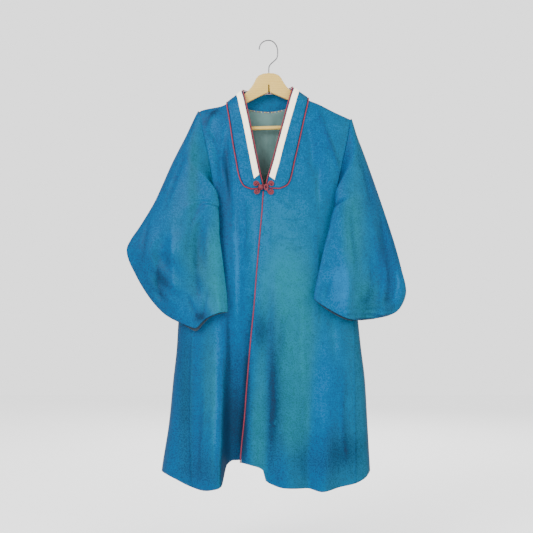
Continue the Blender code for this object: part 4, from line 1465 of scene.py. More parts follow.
def capped_tube(name: str, grid: Array) -> Mesh:
    """Makes a closed mesh of a tube, each end drawn in to a rounded cap.

    Args:
        name: The mesh's name.
        grid: The tube's points in millimetres.

    Returns:
        The mesh, in metres, with its faces outwards.
    """
    middles = grid.mean(axis=1, keepdims=True)
    start_out = unit(middles[0] - middles[1])
    end_out = unit(middles[-1] - middles[-2])
    reach = np.linalg.norm(grid[0] - middles[0], axis=1).mean()
    first, last = [], []
    for angle in CAP_ANGLES:
        drawn, out = math.cos(angle), reach * math.sin(angle)
        first.insert(0, middles[0] + (grid[0] - middles[0]) * drawn + start_out * out)
        last.append(middles[-1] + (grid[-1] - middles[-1]) * drawn + end_out * out)
    whole = np.concatenate([np.array(first), grid, np.array(last)])
    mesh = grid_mesh(name, whole, wraps=True)
    close_ends(mesh)
    return mesh


def close_ends(mesh: Mesh, joined: bool = False) -> None:
    """Closes a tube-like mesh and points its faces outwards.

    Args:
        mesh: The mesh, which is changed.
        joined: Joins its two ends, which lie on each other, rather than capping them.
    """
    bm = bmesh.new()
    bm.from_mesh(mesh)
    if joined:
        bmesh.ops.remove_doubles(bm, verts=bm.verts, dist=JOIN_DISTANCE)
    else:
        bmesh.ops.holes_fill(bm, edges=[e for e in bm.edges if e.is_boundary], sides=0)
    bmesh.ops.recalc_face_normals(bm, faces=bm.faces)
    store(bm, mesh)


class NodeMaker:
    """Adds and joins nodes of a material or a shared group."""

    def __init__(self, tree: bpy.types.NodeTree) -> None:
        """Keeps the tree that nodes are added to.

        Args:
            tree: The tree.
        """
        self.tree = tree

    def give(self, target: Socket, value: object) -> None:
        """Joins an output to an input, or sets the input's own value.

        Args:
            target: The input.
            value: The output, or a number, a vector or a colour.
        """
        if isinstance(value, Socket):
            self.tree.links.new(value, target)
        elif target.type == "RGBA":
            target.default_value = (*value, 1.0)
        else:
            target.default_value = value

    def add(self, kind: str, *values: object, **settings: object) -> bpy.types.Node:
        """Adds a node and gives its settings and inputs.

        Args:
            kind: The node's type.
            values: What its first inputs are given, in their order.
            settings: Properties of the node, or what its inputs of those names are given.

        Returns:
            The node.
        """
        node = self.tree.nodes.new(kind)
        for name, value in settings.items():
            if hasattr(node, name):
                setattr(node, name, value)
            else:
                self.give(node.inputs[name.replace("_", " ").title()], value)
        for socket, value in zip(node.inputs, values):
            self.give(socket, value)
        return node

    def math(self, operation: str, *values: object) -> Socket:
        """Adds a maths node.

        Args:
            operation: What it does.
            values: The outputs or numbers that it works on.

        Returns:
            Its output.
        """
        return self.add("ShaderNodeMath", *values, operation=operation).outputs[0]

    def share(self, source: Socket, part: object) -> Socket:
        """Multiplies an output.

        Args:
            source: The output.
            part: What by.

        Returns:
            The product.
        """
        return self.math("MULTIPLY", source, part)

    def mix(self, share: object, first: object, second: object) -> Socket:
        """Adds a colour mix of outputs or colours.

        Args:
            share: How much of the second colour.
            first: The first colour.
            second: The second colour.

        Returns:
            The mixed colour.
        """
        node = self.add("ShaderNodeMix", share, data_type="RGBA")
        sockets = [socket for socket in node.inputs if socket.type == "RGBA"]
        for socket, value in zip(sockets, (first, second)):
            self.give(socket, value)
        return next(socket for socket in node.outputs if socket.type == "RGBA")

    def ramp(self, source: Socket, low: float, high: float) -> Socket:
        """Adds a smooth step from low to high.

        Args:
            source: The value read.
            low: Where the step starts.
            high: Where it ends.

        Returns:
            The step, from 0 to 1.
        """
        smooth = {"interpolation_type": "SMOOTHSTEP", "value": source, "from_min": low, "from_max": high}
        return self.add("ShaderNodeMapRange", **smooth).outputs[0]

    def noise(self, place: Socket, size: object, detail: float) -> bpy.types.Node:
        """Adds a noise.

        Args:
            place: The coordinates that it reads.
            size: Its scale.
            detail: How fine it goes.

        Returns:
            The node.
        """
        return self.add("ShaderNodeTexNoise", vector=place, scale=size, detail=detail)


def new_group(
    name: str, vectors: Sequence[str], inputs: dict[str, float], outputs: Sequence[str]
) -> tuple[bpy.types.NodeTree, NodeMaker]:
    """Starts a shared shader node group.

    Args:
        name: Its name.
        vectors: Its vector inputs.
        inputs: Its number inputs and their defaults.
        outputs: Its outputs, which are numbers.

    Returns:
        The group and a maker of its nodes.
    """
    group = bpy.data.node_groups.new(name, "ShaderNodeTree")
    for key in vectors:
        group.interface.new_socket(name=key, in_out="INPUT", socket_type="NodeSocketVector")
    for key, value in inputs.items():
        socket = group.interface.new_socket(name=key, in_out="INPUT", socket_type="NodeSocketFloat")
        socket.default_value = value
    for key in outputs:
        group.interface.new_socket(name=key, in_out="OUTPUT", socket_type="NodeSocketFloat")
    return group, NodeMaker(group)


def weave_group() -> bpy.types.NodeTree:
    """Makes the shared weave: fine crossed threads, small woven figures and soft wear, in millimetres.

    Returns:
        A group with the outputs Threads, Figure, Speckle, Wear and Shade.
    """
    sizes = {"Thread Size": 0.5, "Figure Size": 4.0}
    outputs = ("Threads", "Figure", "Speckle", "Wear", "Shade")
    group, nodes = new_group("woven cloth", ("Vector", "Place"), sizes, outputs)
    given = nodes.add("NodeGroupInput").outputs
    enlarge = {"operation": "SCALE", "scale": 1 / MM}
    scaled = nodes.add("ShaderNodeVectorMath", given["Vector"], **enlarge).outputs[0]
    place = nodes.add("ShaderNodeVectorMath", given["Place"], **enlarge).outputs[0]
    parts = nodes.add("ShaderNodeSeparateXYZ", scaled).outputs
    waves = []
    for axis in ("X", "Y"):
        threads = nodes.math("DIVIDE", parts[axis], given["Thread Size"])
        waves.append(nodes.math("SINE", nodes.share(threads, 2 * math.pi)))
    crossed = nodes.math("MULTIPLY_ADD", nodes.share(*waves), 0.5, 0.5)
    figures = nodes.math("DIVIDE", 1.0, given["Figure Size"])
    squares = {"feature": "F1", "distance": "CHEBYCHEV", "scale": figures, "randomness": 0.55}
    cells = nodes.add("ShaderNodeTexVoronoi", vector=place, **squares).outputs["Distance"]
    flecks = nodes.noise(place, nodes.math("DIVIDE", 2.2, given["Figure Size"]), 2.0).outputs[0]
    near = nodes.share(nodes.ramp(cells, 0.34, 0.22), 0.75)
    broken = nodes.share(nodes.ramp(flecks, 0.42, 0.6), 0.8)
    stretched = nodes.add("ShaderNodeVectorMath", scaled, (0.05, 1.4, 1.0), operation="MULTIPLY").outputs[0]
    nodes.add(
        "NodeGroupOutput",
        threads=crossed,
        figure=nodes.math("MAXIMUM", near, broken),
        speckle=nodes.ramp(flecks, 0.5, 0.3),
        wear=nodes.ramp(nodes.noise(place, 0.035, 3.0).outputs[0], 0.35, 0.68),
        shade=nodes.noise(stretched, 1.0, 1.0).outputs[0],
    )
    return group


def grain_group() -> bpy.types.NodeTree:
    """Makes the shared wood grain: long rings broken by fine pores.

    Returns:
        A group with the outputs Ring and Pore.
    """
    group, nodes = new_group("wood grain", ("Vector",), {"Ring Size": 5.0}, ("Ring", "Pore"))
    given = nodes.add("NodeGroupInput").outputs
    drawn = nodes.add("ShaderNodeVectorMath", given["Vector"], (120.0, 1000.0, 1000.0), operation="MULTIPLY")
    scaled = drawn.outputs[0]
    bend = nodes.noise(scaled, 0.06, 2.0).outputs[1]
    bent = nodes.add("ShaderNodeVectorMath", bend, (6.0, 9.0, 9.0), scaled, operation="MULTIPLY_ADD")
    spacing = nodes.math("DIVIDE", 0.314, given["Ring Size"])
    bands = {"wave_type": "BANDS", "bands_direction": "Z", "scale": spacing, "distortion": 1.5}
    rings = nodes.add("ShaderNodeTexWave", vector=bent.outputs[0], **bands).outputs["Fac"]
    pores = nodes.ramp(nodes.noise(scaled, 1.6, 2.0).outputs[0], 0.52, 0.7)
    nodes.add("NodeGroupOutput", ring=rings, pore=pores)
    return group


@dataclass
class Look:
    """What a finish gives its shader: the values or outputs for its inputs, and its fine relief."""

    inputs: dict[str, object]
    height: Socket
    strength: float
    relief_mm: float


class Workshop:
    """Makes each finish's material once, from the shared groups."""

    def __init__(self) -> None:
        """Makes the shared groups."""
        self.weave = weave_group()
        self.grain = grain_group()
        self.made: dict[str, bpy.types.Material] = {}
        self.looks = {
            SatinFinish: self.satin,
            ClothFinish: self.cloth,
            WoodFinish: self.wood,
            WireFinish: self.wire,
        }

    def material(self, finish: Finish, on_cloth: bool = True) -> bpy.types.Material:
        """Makes a finish's material, or finds the one made before.

        Args:
            finish: The finish.
            on_cloth: Reads the piece's own UV map in place of its object coordinates.

        Returns:
            The material.
        """
        if finish.name in self.made:
            return self.made[finish.name]
        material = bpy.data.materials.new(finish.name)
        material.use_nodes = True
        material.node_tree.nodes.clear()
        nodes = NodeMaker(material.node_tree)
        shader = nodes.add("ShaderNodeBsdfPrincipled")
        nodes.add("ShaderNodeOutputMaterial", shader.outputs[0])
        place = nodes.add("ShaderNodeTexCoord").outputs["Object"]
        own = nodes.add("ShaderNodeUVMap", uv_map="cloth_mm").outputs[0] if on_cloth else place
        look = self.looks[type(finish)](nodes, finish, {"vector": own, "place": place})
        for key, value in look.inputs.items():
            nodes.give(shader.inputs[key], value)
        bump = nodes.add("ShaderNodeBump", strength=look.strength, distance=look.relief_mm * MM)
        nodes.give(bump.inputs["Height"], look.height)
        nodes.give(shader.inputs["Normal"], bump.outputs[0])
        self.made[finish.name] = material
        return material

    def satin(self, nodes: NodeMaker, finish: SatinFinish, where: Where) -> Look:
        """Gives the look of a shot satin: its colour turns as painted light and shade with the way it faces,
        and small figures are painted lighter, the more where its painted light is stronger.

        Args:
            nodes: The material's node maker.
            finish: Its colours and gloss.
            where: The coordinates that it reads.

        Returns:
            The look.
        """
        sizes = {"thread_size": 0.42, "figure_size": finish.figure_mm}
        weave = nodes.add("ShaderNodeGroup", node_tree=self.weave, **sizes, **where).outputs
        slope = nodes.add("ShaderNodeAttribute", attribute_name="slope").outputs["Fac"]
        lean = nodes.add("ShaderNodeAttribute", attribute_name="lean").outputs["Fac"]
        # Painted shade, mid tone and painted light of the blue and of the green, mixed by the painted light
        # attribute
        blue = nodes.mix(nodes.ramp(slope, 0.05, 0.6), finish.deep, finish.middle)
        blue = nodes.mix(nodes.share(nodes.ramp(slope, 0.5, 0.95), 0.7), blue, finish.light)
        green = nodes.mix(nodes.ramp(slope, 0.1, 0.85), finish.deep, finish.other)
        tint = nodes.mix(nodes.share(nodes.ramp(lean, 0.25, 0.95), 0.9), blue, green)
        figure = nodes.share(nodes.share(weave["Figure"], 0.34), nodes.ramp(slope, -0.2, 0.7))
        tint = nodes.mix(figure, tint, finish.light)
        tint = nodes.mix(nodes.share(weave["Speckle"], 0.26), tint, finish.deep)
        inputs = {
            "Base Color": nodes.mix(nodes.share(weave["Wear"], 0.14), tint, finish.deep),
            "Roughness": nodes.math("MULTIPLY_ADD", weave["Figure"], 0.14, finish.roughness),
            "Sheen Weight": finish.sheen,
            "Sheen Roughness": 0.35,
            "Sheen Tint": finish.light,
            "Specular IOR Level": 0.1,
        }
        height = nodes.math("ADD", nodes.share(weave["Threads"], 0.35), weave["Figure"])
        return Look(inputs, height, 0.35, 0.12)

    def cloth(self, nodes: NodeMaker, finish: ClothFinish, where: Where) -> Look:
        """Gives the look of a plain woven cloth or cord.

        Args:
            nodes: The material's node maker.
            finish: Its colours and gloss.
            where: The coordinates that it reads.

        Returns:
            The look.
        """
        sizes = {"thread_size": finish.thread_mm, "figure_size": 3.0}
        weave = nodes.add("ShaderNodeGroup", node_tree=self.weave, **sizes, **where).outputs
        tint = finish.light
        for key, part in (("Wear", 0.45), ("Shade", 0.35), ("Threads", 0.22)):
            tint = nodes.mix(nodes.share(weave[key], part), tint, finish.deep)
        inputs = {
            "Base Color": tint,
            "Roughness": nodes.math("MULTIPLY_ADD", weave["Shade"], 0.15, finish.roughness),
            "Sheen Weight": finish.sheen,
            "Sheen Roughness": 0.5,
        }
        return Look(inputs, nodes.math("ADD", weave["Threads"], weave["Shade"]), finish.bump, 0.1)

    def wood(self, nodes: NodeMaker, finish: WoodFinish, where: Where) -> Look:
        """Gives the look of varnished wood with its grain along X.

        Args:
            nodes: The material's node maker.
            finish: Its colours and gloss.
            where: The coordinates that it reads.

        Returns:
            The look.
        """
        sizes = {"ring_size": finish.ring_mm, "vector": where["vector"]}
        grain = nodes.add("ShaderNodeGroup", node_tree=self.grain, **sizes).outputs
        tint = nodes.mix(nodes.share(grain["Ring"], 0.45), finish.early, finish.late)
        inputs = {
            "Base Color": nodes.mix(nodes.share(grain["Pore"], 0.4), tint, finish.late),
            "Roughness": nodes.math("MULTIPLY_ADD", grain["Pore"], 0.15, finish.roughness),
            "Coat Weight": finish.coat,
            "Coat Roughness": 0.18,
        }
        return Look(inputs, grain["Pore"], 0.2, 0.1)

    def wire(self, nodes: NodeMaker, finish: WireFinish, where: Where) -> Look:
        """Gives the look of plated wire with faint draw marks and dull patches.

        Args:
            nodes: The material's node maker.
            finish: Its colour and gloss.
            where: The coordinates that it reads.

        Returns:
            The look.
        """
        spots = nodes.noise(where["vector"], 1 / (finish.draw_mm * MM), 4.0).outputs[0]
        dull = nodes.ramp(spots, 0.45, 0.75)
        inputs = {
            "Base Color": nodes.mix(dull, finish.colour, finish.worn),
            "Roughness": nodes.math("MULTIPLY_ADD", dull, 0.25, finish.roughness),
            "Metallic": 1.0,
        }
        return Look(inputs, spots, 0.1, 0.05)


@dataclass
class Piece(ABC):
    """A piece of the coat or of its hanger, and the solids that it stands for."""

    nodes: tuple[str, ...]
    slot: str
    body: BodyForm
    workshop: Workshop

    @abstractmethod
    def shape(self) -> Object:
        """Makes the piece's object.

        Returns:
            The object, dressed with its materials.
        """

    def place(self) -> Object:
        """Makes the piece and gives it to the object's body.

        Returns:
            The finished object.
        """
        made = self.shape()
        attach(made, BODY_NAME)
        if self.nodes:
            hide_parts(*self.nodes)
        return made


def mark_painted_light_and_lean(mesh: Mesh, grid: Array, rises: Array, patches: Sequence[ShotAndShadePatch]) -> None:
    """Stores the painted light and shade of the cloth, from the way it faces, its creases and its soft
    patches, and how far its shot satin turns green.

    Args:
        mesh: The cloth's mesh.
        grid: The points that it was made from, in millimetres.
        rises: Crease height at each of them, which paints light on ridges and shade in troughs.
        patches: Where the satin turns green, and where shade and light are painted on it.
    """
    normals, places = np.empty(len(mesh.vertices) * 3), np.empty(len(mesh.vertices) * 3)
    mesh.vertices.foreach_get("normal", normals)
    mesh.vertices.foreach_get("co", places)
    normals, places = normals.reshape(-1, 3), places.reshape(-1, 3) / MM
    known = {tuple(np.round(p, 3)): rise for p, rise in zip(grid.reshape(-1, 3), rises.reshape(-1))}
    found = np.array([known.get(tuple(np.round(p, 3)), 0.0) for p in places])
    green = LEAN_LEVEL + LEAN_SIDEWAYS * normals[:, 0] * np.sign(-normals[:, 1])
    # Painted light: faces turned to the camera or upwards, and ridges, are lighter; troughs and deep patches
    # are painted shade
    light = PAINTED_LIGHT_LEVEL + PAINTED_LIGHT_FACING * normals[:, 1] ** 2 + PAINTED_LIGHT_UPWARDS * normals[:, 2]
    light += PAINTED_LIGHT_RISE * np.clip(found, -RISE_LIMIT, RISE_LIMIT)
    for patch in patches:
        across, up = (places[:, 0] - patch.x) / patch.width, (places[:, 2] - patch.z) / patch.height
        strength = np.exp(-(across**2) - up**2)
        green += PATCH_GREEN * patch.green * strength
        light -= PATCH_PAINTED_SHADE * patch.deep * strength
    for name, values in (("slope", light), ("lean", green)):
        layer = mesh.attributes.new(name, "FLOAT", "POINT")
        layer.data.foreach_set("value", np.clip(values, 0.0, 1.0))


def seam_groove(across: Array) -> Array:
    """A shallow groove where a panel is drawn in at its seam.

    Args:
        across: Distance from the seam, in millimetres.

    Returns:
        The rise at each place, which is negative.
    """
    width, depth = SEAM_GROOVE
    return -depth * np.exp(-((across / width) ** 2))


def dress_shell(
    name: str,
    grid: Array,
    rises: Array,
    finishes: tuple[bpy.types.Material, bpy.types.Material],
    patches: Sequence[ShotAndShadePatch],
    wraps: bool = False,
    thickness: float = SHELL_THICKNESS,
) -> Object:
    """Makes a satin shell from its grid, with its lining inside.

    Args:
        name: The piece's name.
        grid: Its outer face's points in millimetres.
        rises: Crease height at each of them.
        finishes: The outer face's material and the inner face's.
        patches: Where its satin turns green, and where shade and light are painted on it.
        wraps: Whether its columns run right round.
        thickness: Of cloth and lining together, in millimetres.

    Returns:
        The object.
    """
    mesh = grid_mesh(name, grid, wraps)
    mark_painted_light_and_lean(mesh, grid, rises, patches)
    made = scene_object(name, mesh)
    for finish in finishes:
        mesh.materials.append(finish)
    add_thickness(made, thickness, -1.0, inner_slot=1)
    return made


@dataclass
class Panel(Piece):
    """A flat-cut panel of the coat's body, as a shell on its solid's outer face."""

    name: str = ""
    surface: Surface = None
    downs: Array = None
    columns: int = 60
    creases: tuple[Crease, ...] = ()
    seams: tuple[int, ...] = (0, 1)
    turn: float = 1.0

    def shape(self) -> Object:
        """Makes the shell with its creases.

        Returns:
            The object.
        """
        across, down = np.meshgrid(np.linspace(0.0, 1.0, self.columns), self.downs)
        base = self.surface(across, down)
        reach = arc_lengths(base)[0]
        rises = crease_height(self.creases, base[..., 0], base[..., 2])
        for seam in self.seams:
            rises += seam_groove(reach - seam * reach[:, -1:])
        normals = grid_normals(base) * self.turn
        grid = base + normals * rises[..., None]
        if self.turn < 0:
            grid, rises = grid[:, ::-1], rises[:, ::-1]
        # Through its rises, the creases and seam grooves paint light on ridges and shade in hollows
        return dress_shell(
            self.name,
            grid,
            rises,
            (self.workshop.material(SATIN), self.workshop.material(LINING_FINISH)),
            SHOT_AND_SHADE_PATCHES_BODY,
        )


def surface_normal(body: BodyForm, surface: Surface, across: float, down: float) -> Array:
    """Finds the outward normal of a surface of the body, from its neighbours a nudge away.

    Args:
        body: The body.
        surface: The surface.
        across: Share of the way across it.
        down: Place down it.

    Returns:
        The normal.
    """
    spots = [(across, down), (across + NUDGE, down), (across - NUDGE, down)]
    spots += [(across, max(down - NUDGE_DOWN, 0.0)), (across, down + NUDGE_DOWN)]
    here, right, left, above, below = (surface(np.array([a]), np.array([d], float))[0] for a, d in spots)
    normal = np.cross(right - left, below - above)
    if here[1] == 0:
        normal[1] = 0
    normal = unit(normal)
    outward = np.array([here[0] - body.size(here[2:3])[0][0], here[1] * 4, 40.0])
    return normal if normal @ outward > 0 else -normal


def periodic(ring: Array, fine: int) -> Array:
    """Reads a closed ring of points smoothly at evenly spaced places between them.

    Args:
        ring: Its points, with the ring along axis 1 of a grid.
        fine: How many places for each point.

    Returns:
        The finer ring.
    """
    count = ring.shape[1]
    around = np.concatenate([ring[:, -3:], ring, ring[:, :4]], axis=1)
    position = 3 + np.arange(count * fine) / fine
    return np.stack([through(row, position) for row in around])


@dataclass
class Sleeve(Piece):
    """A curved sleeve, from its armhole seam to its slanting cuff."""

    name: str = ""
    side: Side = Side.LEFT

    def armhole(self) -> tuple[Array, Array, Array]:
        """The armhole's points, down the front and up the back, with their normals and ways out.

        Returns:
            Three arrays, one row for each point.
        """
        front, gore, back = self.body.front(self.side), self.body.gore(self.side), self.body.back(self.side)
        places = [(front, 1.0, down) for down in YOKE_DOWNS]
        places += [(gore, j / GORE_COLUMNS, 0.0) for j in range(1, GORE_COLUMNS)]
        places += [(back, 1.0, down) for down in YOKE_DOWNS[:0:-1]]
        points = np.array([s(np.array([a]), np.array([d], float))[0] for s, a, d in places])
        normals = np.array([surface_normal(self.body, *place) for place in places])
        ahead, behind = np.roll(points, -1, axis=0), np.roll(points, 1, axis=0)
        normals[0] = unit(normals[1] + normals[-1])
        ways = unit(np.cross(ahead - behind, normals)) * -self.side.sign
        ways[0] = unit(ways[1] + ways[-1])
        return points, normals, ways

    def section(self, row: SleeveRow, shares: Array, front: Array) -> Array:
        """Points of one section of the sleeve.

        Args:
            row: The section's sizes.
            shares: Each point's share of the way from the outer to the inner edge.
            front: Whether it is on the front.

        Returns:
            The points.
        """
        outer = np.array([row.outer_x, -row.outer_depth, row.outer_z], float)
        inner = np.array([row.inner_x, -row.inner_depth, row.inner_z], float)
        points = outer + (inner - outer) * shares[:, None]
        bow = np.sin(np.pi * shares**BOW_SKEW)
        off = np.maximum(np.sin(np.pi * shares), 0.0) ** PLUMPNESS
        points[:, 0] += np.where(front, row.front_bow, row.back_bow) * bow
        points[:, 1] += np.where(front, -row.front, row.back) * off
        return points

    def places(self, seam: Array, settled: float) -> tuple[Array, Array]:
        """Places the sleeve's columns: as the armhole's own points at first, and evenly once settled.

        Args:
            seam: The armhole's points.
            settled: How far they are settled, from 0 to 1.

        Returns:
            Each column's share of the way from the outer edge, and whether it is on the front.
        """
        half = len(seam) // 2
        even = (1 - np.cos(np.pi * np.arange(half + 1) / half)) / 2
        found = []
        for route in (seam[: half + 1], np.concatenate([seam[:1], seam[: half - 1 : -1]])):
            lengths = lengths_along(route)
            own = lengths / lengths[-1]
            found.append(own + (even - own) * settled)
        front, back = found
        shares = np.concatenate([front, back[-2:0:-1]])
        return shares, np.arange(len(shares)) <= half

    def clear_of_body(self, ring: Array, chosen: Array, gap: Array) -> None:
        """Moves points of a ring forwards, clear of the front of the body behind them.

        Args:
            ring: The ring, which is changed.
            chosen: Which of its points may move.
            gap: How far each one stays from the body.
        """
        middle, half = self.body.size(ring[:, 2])[:2]
        yoke = CUTS[self.side].yoke
        arm = column(yoke, "arm_x", "arm_z")(ring[:, 2])
        reach = np.where(ring[:, 2] > UNDERARM, np.abs(arm - middle), half + EDGE_MARGIN)
        limit = -self.body.depth(ring[:, 0], ring[:, 2], self.side, True) - WALL - gap
        moves = chosen & (np.abs(ring[:, 0] - middle) < reach)
        ring[:, 1] = np.where(moves, np.minimum(ring[:, 1], limit), ring[:, 1])

    def coarse(self) -> Array:
        """The sleeve's outer face as the solid has it, one ring for each half section.

        Returns:
            The points, as rings of columns.
        """
        cut = CUTS[self.side]
        seam, normals, ways = self.armhole()
        rings = [seam]
        for k, row in enumerate(cut.sleeve):
            shares, front = self.places(seam, min((k + 1) / SETTLE_ROWS, 1.0))
            rings.append(self.section(row, shares, front))
        drops = [column(cut.cuff, name, "across")(shares) for name in ("front_drop", "back_drop")]
        rings[-1][:, 2] -= np.where(front, *drops)
        stack = np.stack(rings)
        under = seam[:, 2] < UNDERARM + LAYER
        grid = []
        for i in range((len(rings) - 1) * SLEEVE_STEPS + 1):
            position = i / SLEEVE_STEPS
            ring = np.stack([through(stack[:, j], np.array([position]))[0] for j in range(len(seam))])
            if position >= 1:
                ring[:, 1] -= np.where(front, relief(cut.sleeve_folds, ring[:, 0], ring[:, 2]), 0.0)
            if 0 < position <= 1:
                middle, half = self.body.size(ring[:, 2])[:2]
                reach = half + UNDERARM_GAP
                inside = under & (ring[:, 2] < UNDERARM) & (np.abs(ring[:, 0] - middle) < reach)
                ring[:, 0] = np.where(inside, middle + np.copysign(reach, ring[:, 0]), ring[:, 0])
            if i > 0:
                corner = under & (position < 2)
                gap = np.where(front, SLEEVE_RIDGE, SLEEVE_CLEARANCE) + CORNER_GAP * corner
                self.clear_of_body(ring, front | (position > 1), gap)
            if i == 0:
                ring = seam - (ways + normals * 0.7) * np.where(under, UNDERARM_TUCK, SEAM_TUCK)[:, None]
            elif i == 1:
                out = np.where(under, UNDERARM_OUT, SEAM_OUT)[:, None]
                rise = np.where(under, WALL + UNDERARM_GAP, SEAM_RISE)[:, None]
                ring = seam + ways * out + normals * rise
            grid.append(ring)
        return np.stack(grid)

    def shape(self) -> Object:
        """Makes the shell, drawn smoothly through the solid's rings, with its creases.

        Returns:
            The object.
        """
        coarse = self.coarse()
        last = len(coarse) - 1
        rows = np.linspace(0.0, last, last * SLEEVE_FINE + 1)
        finer = np.stack([through(coarse[:, j], rows) for j in range(coarse.shape[1])], axis=1)
        finer = periodic(finer, SLEEVE_AROUND)
        normals = grid_normals(finer, wraps=True) * self.side.sign
        rises = crease_height(CUTS[self.side].sleeve_creases, finer[..., 0], finer[..., 2])
        fade = np.clip(rows / 3.0, 0.0, 1.0)[:, None]
        # A slight dip along the armhole seam, which the rises also paint as shade
        rises = rises * fade - 0.8 * np.exp(-((rows / 1.2) ** 2))[:, None]
        grid = finer + normals * rises[..., None]
        if self.side is Side.RIGHT:
            grid, rises = grid[:, ::-1], rises[:, ::-1]
        # Its inside takes the sleeve lining in painted shade
        return dress_shell(
            self.name,
            grid,
            rises,
            (self.workshop.material(SATIN), self.workshop.material(SLEEVE_LINING_IN_PAINTED_SHADE)),
            SHOT_AND_SHADE_PATCHES_SLEEVE,
            wraps=True,
            thickness=SLEEVE_THICKNESS,
        )


class BandForm:
    """The neck band's under face, from its left end round the neck to its right end."""

    def __init__(self, body: BodyForm) -> None:
        """Finds both edges once.

        Args:
            body: The coat's body.
        """
        self.body = body
        self.neck = np.array([self.edge(row, "neck") for row in BAND])
        self.sewn = np.array([self.edge(row, "sewn") for row in BAND])

    def edge(self, row: BandRow, name: str) -> Array:
        """Finds one edge of the band at a station.

        Args:
            row: The station.
            name: neck or sewn.

        Returns:
            The point.
        """
        x, z, depth = (getattr(row, name + part) for part in ("_x", "_z", "_depth"))
        if depth is None:
            front = row.side != "back"
            nearer = Side.LEFT if x < 0 else Side.RIGHT
            side = {"left": Side.LEFT, "right": Side.RIGHT}.get(row.side, nearer)
            found = self.body.depth_at(x, z, side, front)
            depth = found + (LAYER if front else -LAYER)
        return np.array([x, -depth, z], float)

    def grid(self, positions: Array, shares: Array) -> tuple[Array, Array]:
        """Points of the under face and their outward normals.

        Args:
            positions: Stations along the band.
            shares: Places across it, from its neck edge to its sewn edge.

        Returns:
            The points and the normals, as rows across the band.
        """
        neck, sewn = through(self.neck, positions), through(self.sewn, positions)
        points = neck[:, None] + (sewn - neck)[:, None] * shares[None, :, None]
        flat = points.reshape(-1, 3)
        left = np.repeat(positions < BAND_MIDDLE, len(shares))
        front = flat[:, 1] < 0
        x, z = flat[:, 0], flat[:, 2]
        near = np.where(left, self.body.depth(x, z, Side.LEFT, True), self.body.depth(x, z, Side.RIGHT, True))
        cloth = np.where(front, near, self.body.depth(x, z, Side.LEFT, False))
        lift = np.where(front & (z < NECK_ZONE), LAYER, NECK_LAYER)
        ahead, behind = np.minimum(flat[:, 1], -cloth - lift), np.maximum(flat[:, 1], lift - cloth)
        flat[:, 1] = np.where(front, ahead, behind)
        points = flat.reshape(points.shape)
        return points, -grid_normals(points)


@dataclass
class NeckBand(Piece):
    """The banded collar, a folded strip of satin with soft edges and stitching near its sewn edge."""

    form: BandForm | None = None

    def shape(self) -> Object:
        """Makes the band as one closed, rounded ribbon.

        Returns:
            The object.
        """
        positions = np.linspace(0.0, len(BAND) - 1.0, BAND_ROWS)
        shares = np.linspace(0.0, 1.0, BAND_FINE_COLUMNS)
        under, normals = self.form.grid(positions, shares)
        width = np.linalg.norm(under[:, -1] - under[:, 0], axis=1)[:, None]
        reach = np.minimum(shares[None], 1 - shares[None]) * width
        edge = np.sqrt(np.clip(1 - (1 - np.minimum(reach / BAND_ROUND, 1.0)) ** 2, 0.0, 1.0))
        stitch = -BAND_STITCH_DEPTH * np.exp(-(((reach - BAND_STITCH_IN) / BAND_STITCH_WIDTH) ** 2))
        creases = crease_height(CREASES_BAND, under[..., 0], under[..., 2]) * (under[..., 1] < 0)
        rises = BAND_WALL * (BAND_EDGE + (1 - BAND_EDGE) * edge) + stitch + creases
        outer = under + normals * rises[..., None]
        ring = np.concatenate([outer, under[:, ::-1]], axis=1)
        # Through these rises the band's rounded edges, stitch line and creases are painted darker as shade;
        # its under face is left unchanged
        flat = np.concatenate([rises - BAND_WALL, np.zeros_like(rises)], axis=1)
        mesh = grid_mesh("neck band", ring, wraps=True)
        close_ends(mesh)
        mark_painted_light_and_lean(mesh, ring, flat, SHOT_AND_SHADE_PATCHES_BODY)
        mesh.materials.append(self.workshop.material(SATIN))
        return scene_object("neck_band_satin", mesh)


@dataclass
class CollarStrip(Piece):
    """The pale paper-stiff strip basted over the collar's neck edge."""

    form: BandForm | None = None

    def shape(self) -> Object:
        """Makes the strip as a folded ribbon whose edges turn under.

        Returns:
            The object.
        """
        positions = np.linspace(STRIP_START, STRIP_END, STRIP_ROWS)
        stations = (STRIP_START, *STRIP_STRAIGHT, STRIP_END)
        slant = STRIP_SLANT * np.interp(positions, stations, (-1.0, 0.0, 0.0, 1.0))
        tops, feet = [], []
        for share in np.linspace(0.0, 1.0, STRIP_COLUMNS):
            under, normals = self.form.grid(positions + slant * share, np.linspace(0.0, 1.0, STRIP_SAMPLES))
            wide = np.linalg.norm(under[:, -1] - under[:, 0], axis=1)
            places = (STRIP_SET_BACK + STRIP_WIDTH * share) / wide * (STRIP_SAMPLES - 1)
            base = np.array([through(row, place) for row, place in zip(under, places)])
            up = unit(np.array([through(row, place) for row, place in zip(normals, places)]))
            foot = BAND_WALL + STRIP_GAP
            feet.append(base + up * foot)
            tops.append(base + up * (foot + STRIP_EDGE + STRIP_CROWN * math.sin(math.pi * share) ** 0.5))
        rows = np.concatenate([np.stack(tops, axis=1), np.stack(feet[::-1], axis=1)], axis=1)
        mesh = grid_mesh("collar strip", rows, wraps=True)
        close_ends(mesh)
        mesh.materials.append(self.workshop.material(STRIP_FINISH))
        return scene_object("collar_strip_cloth", mesh)


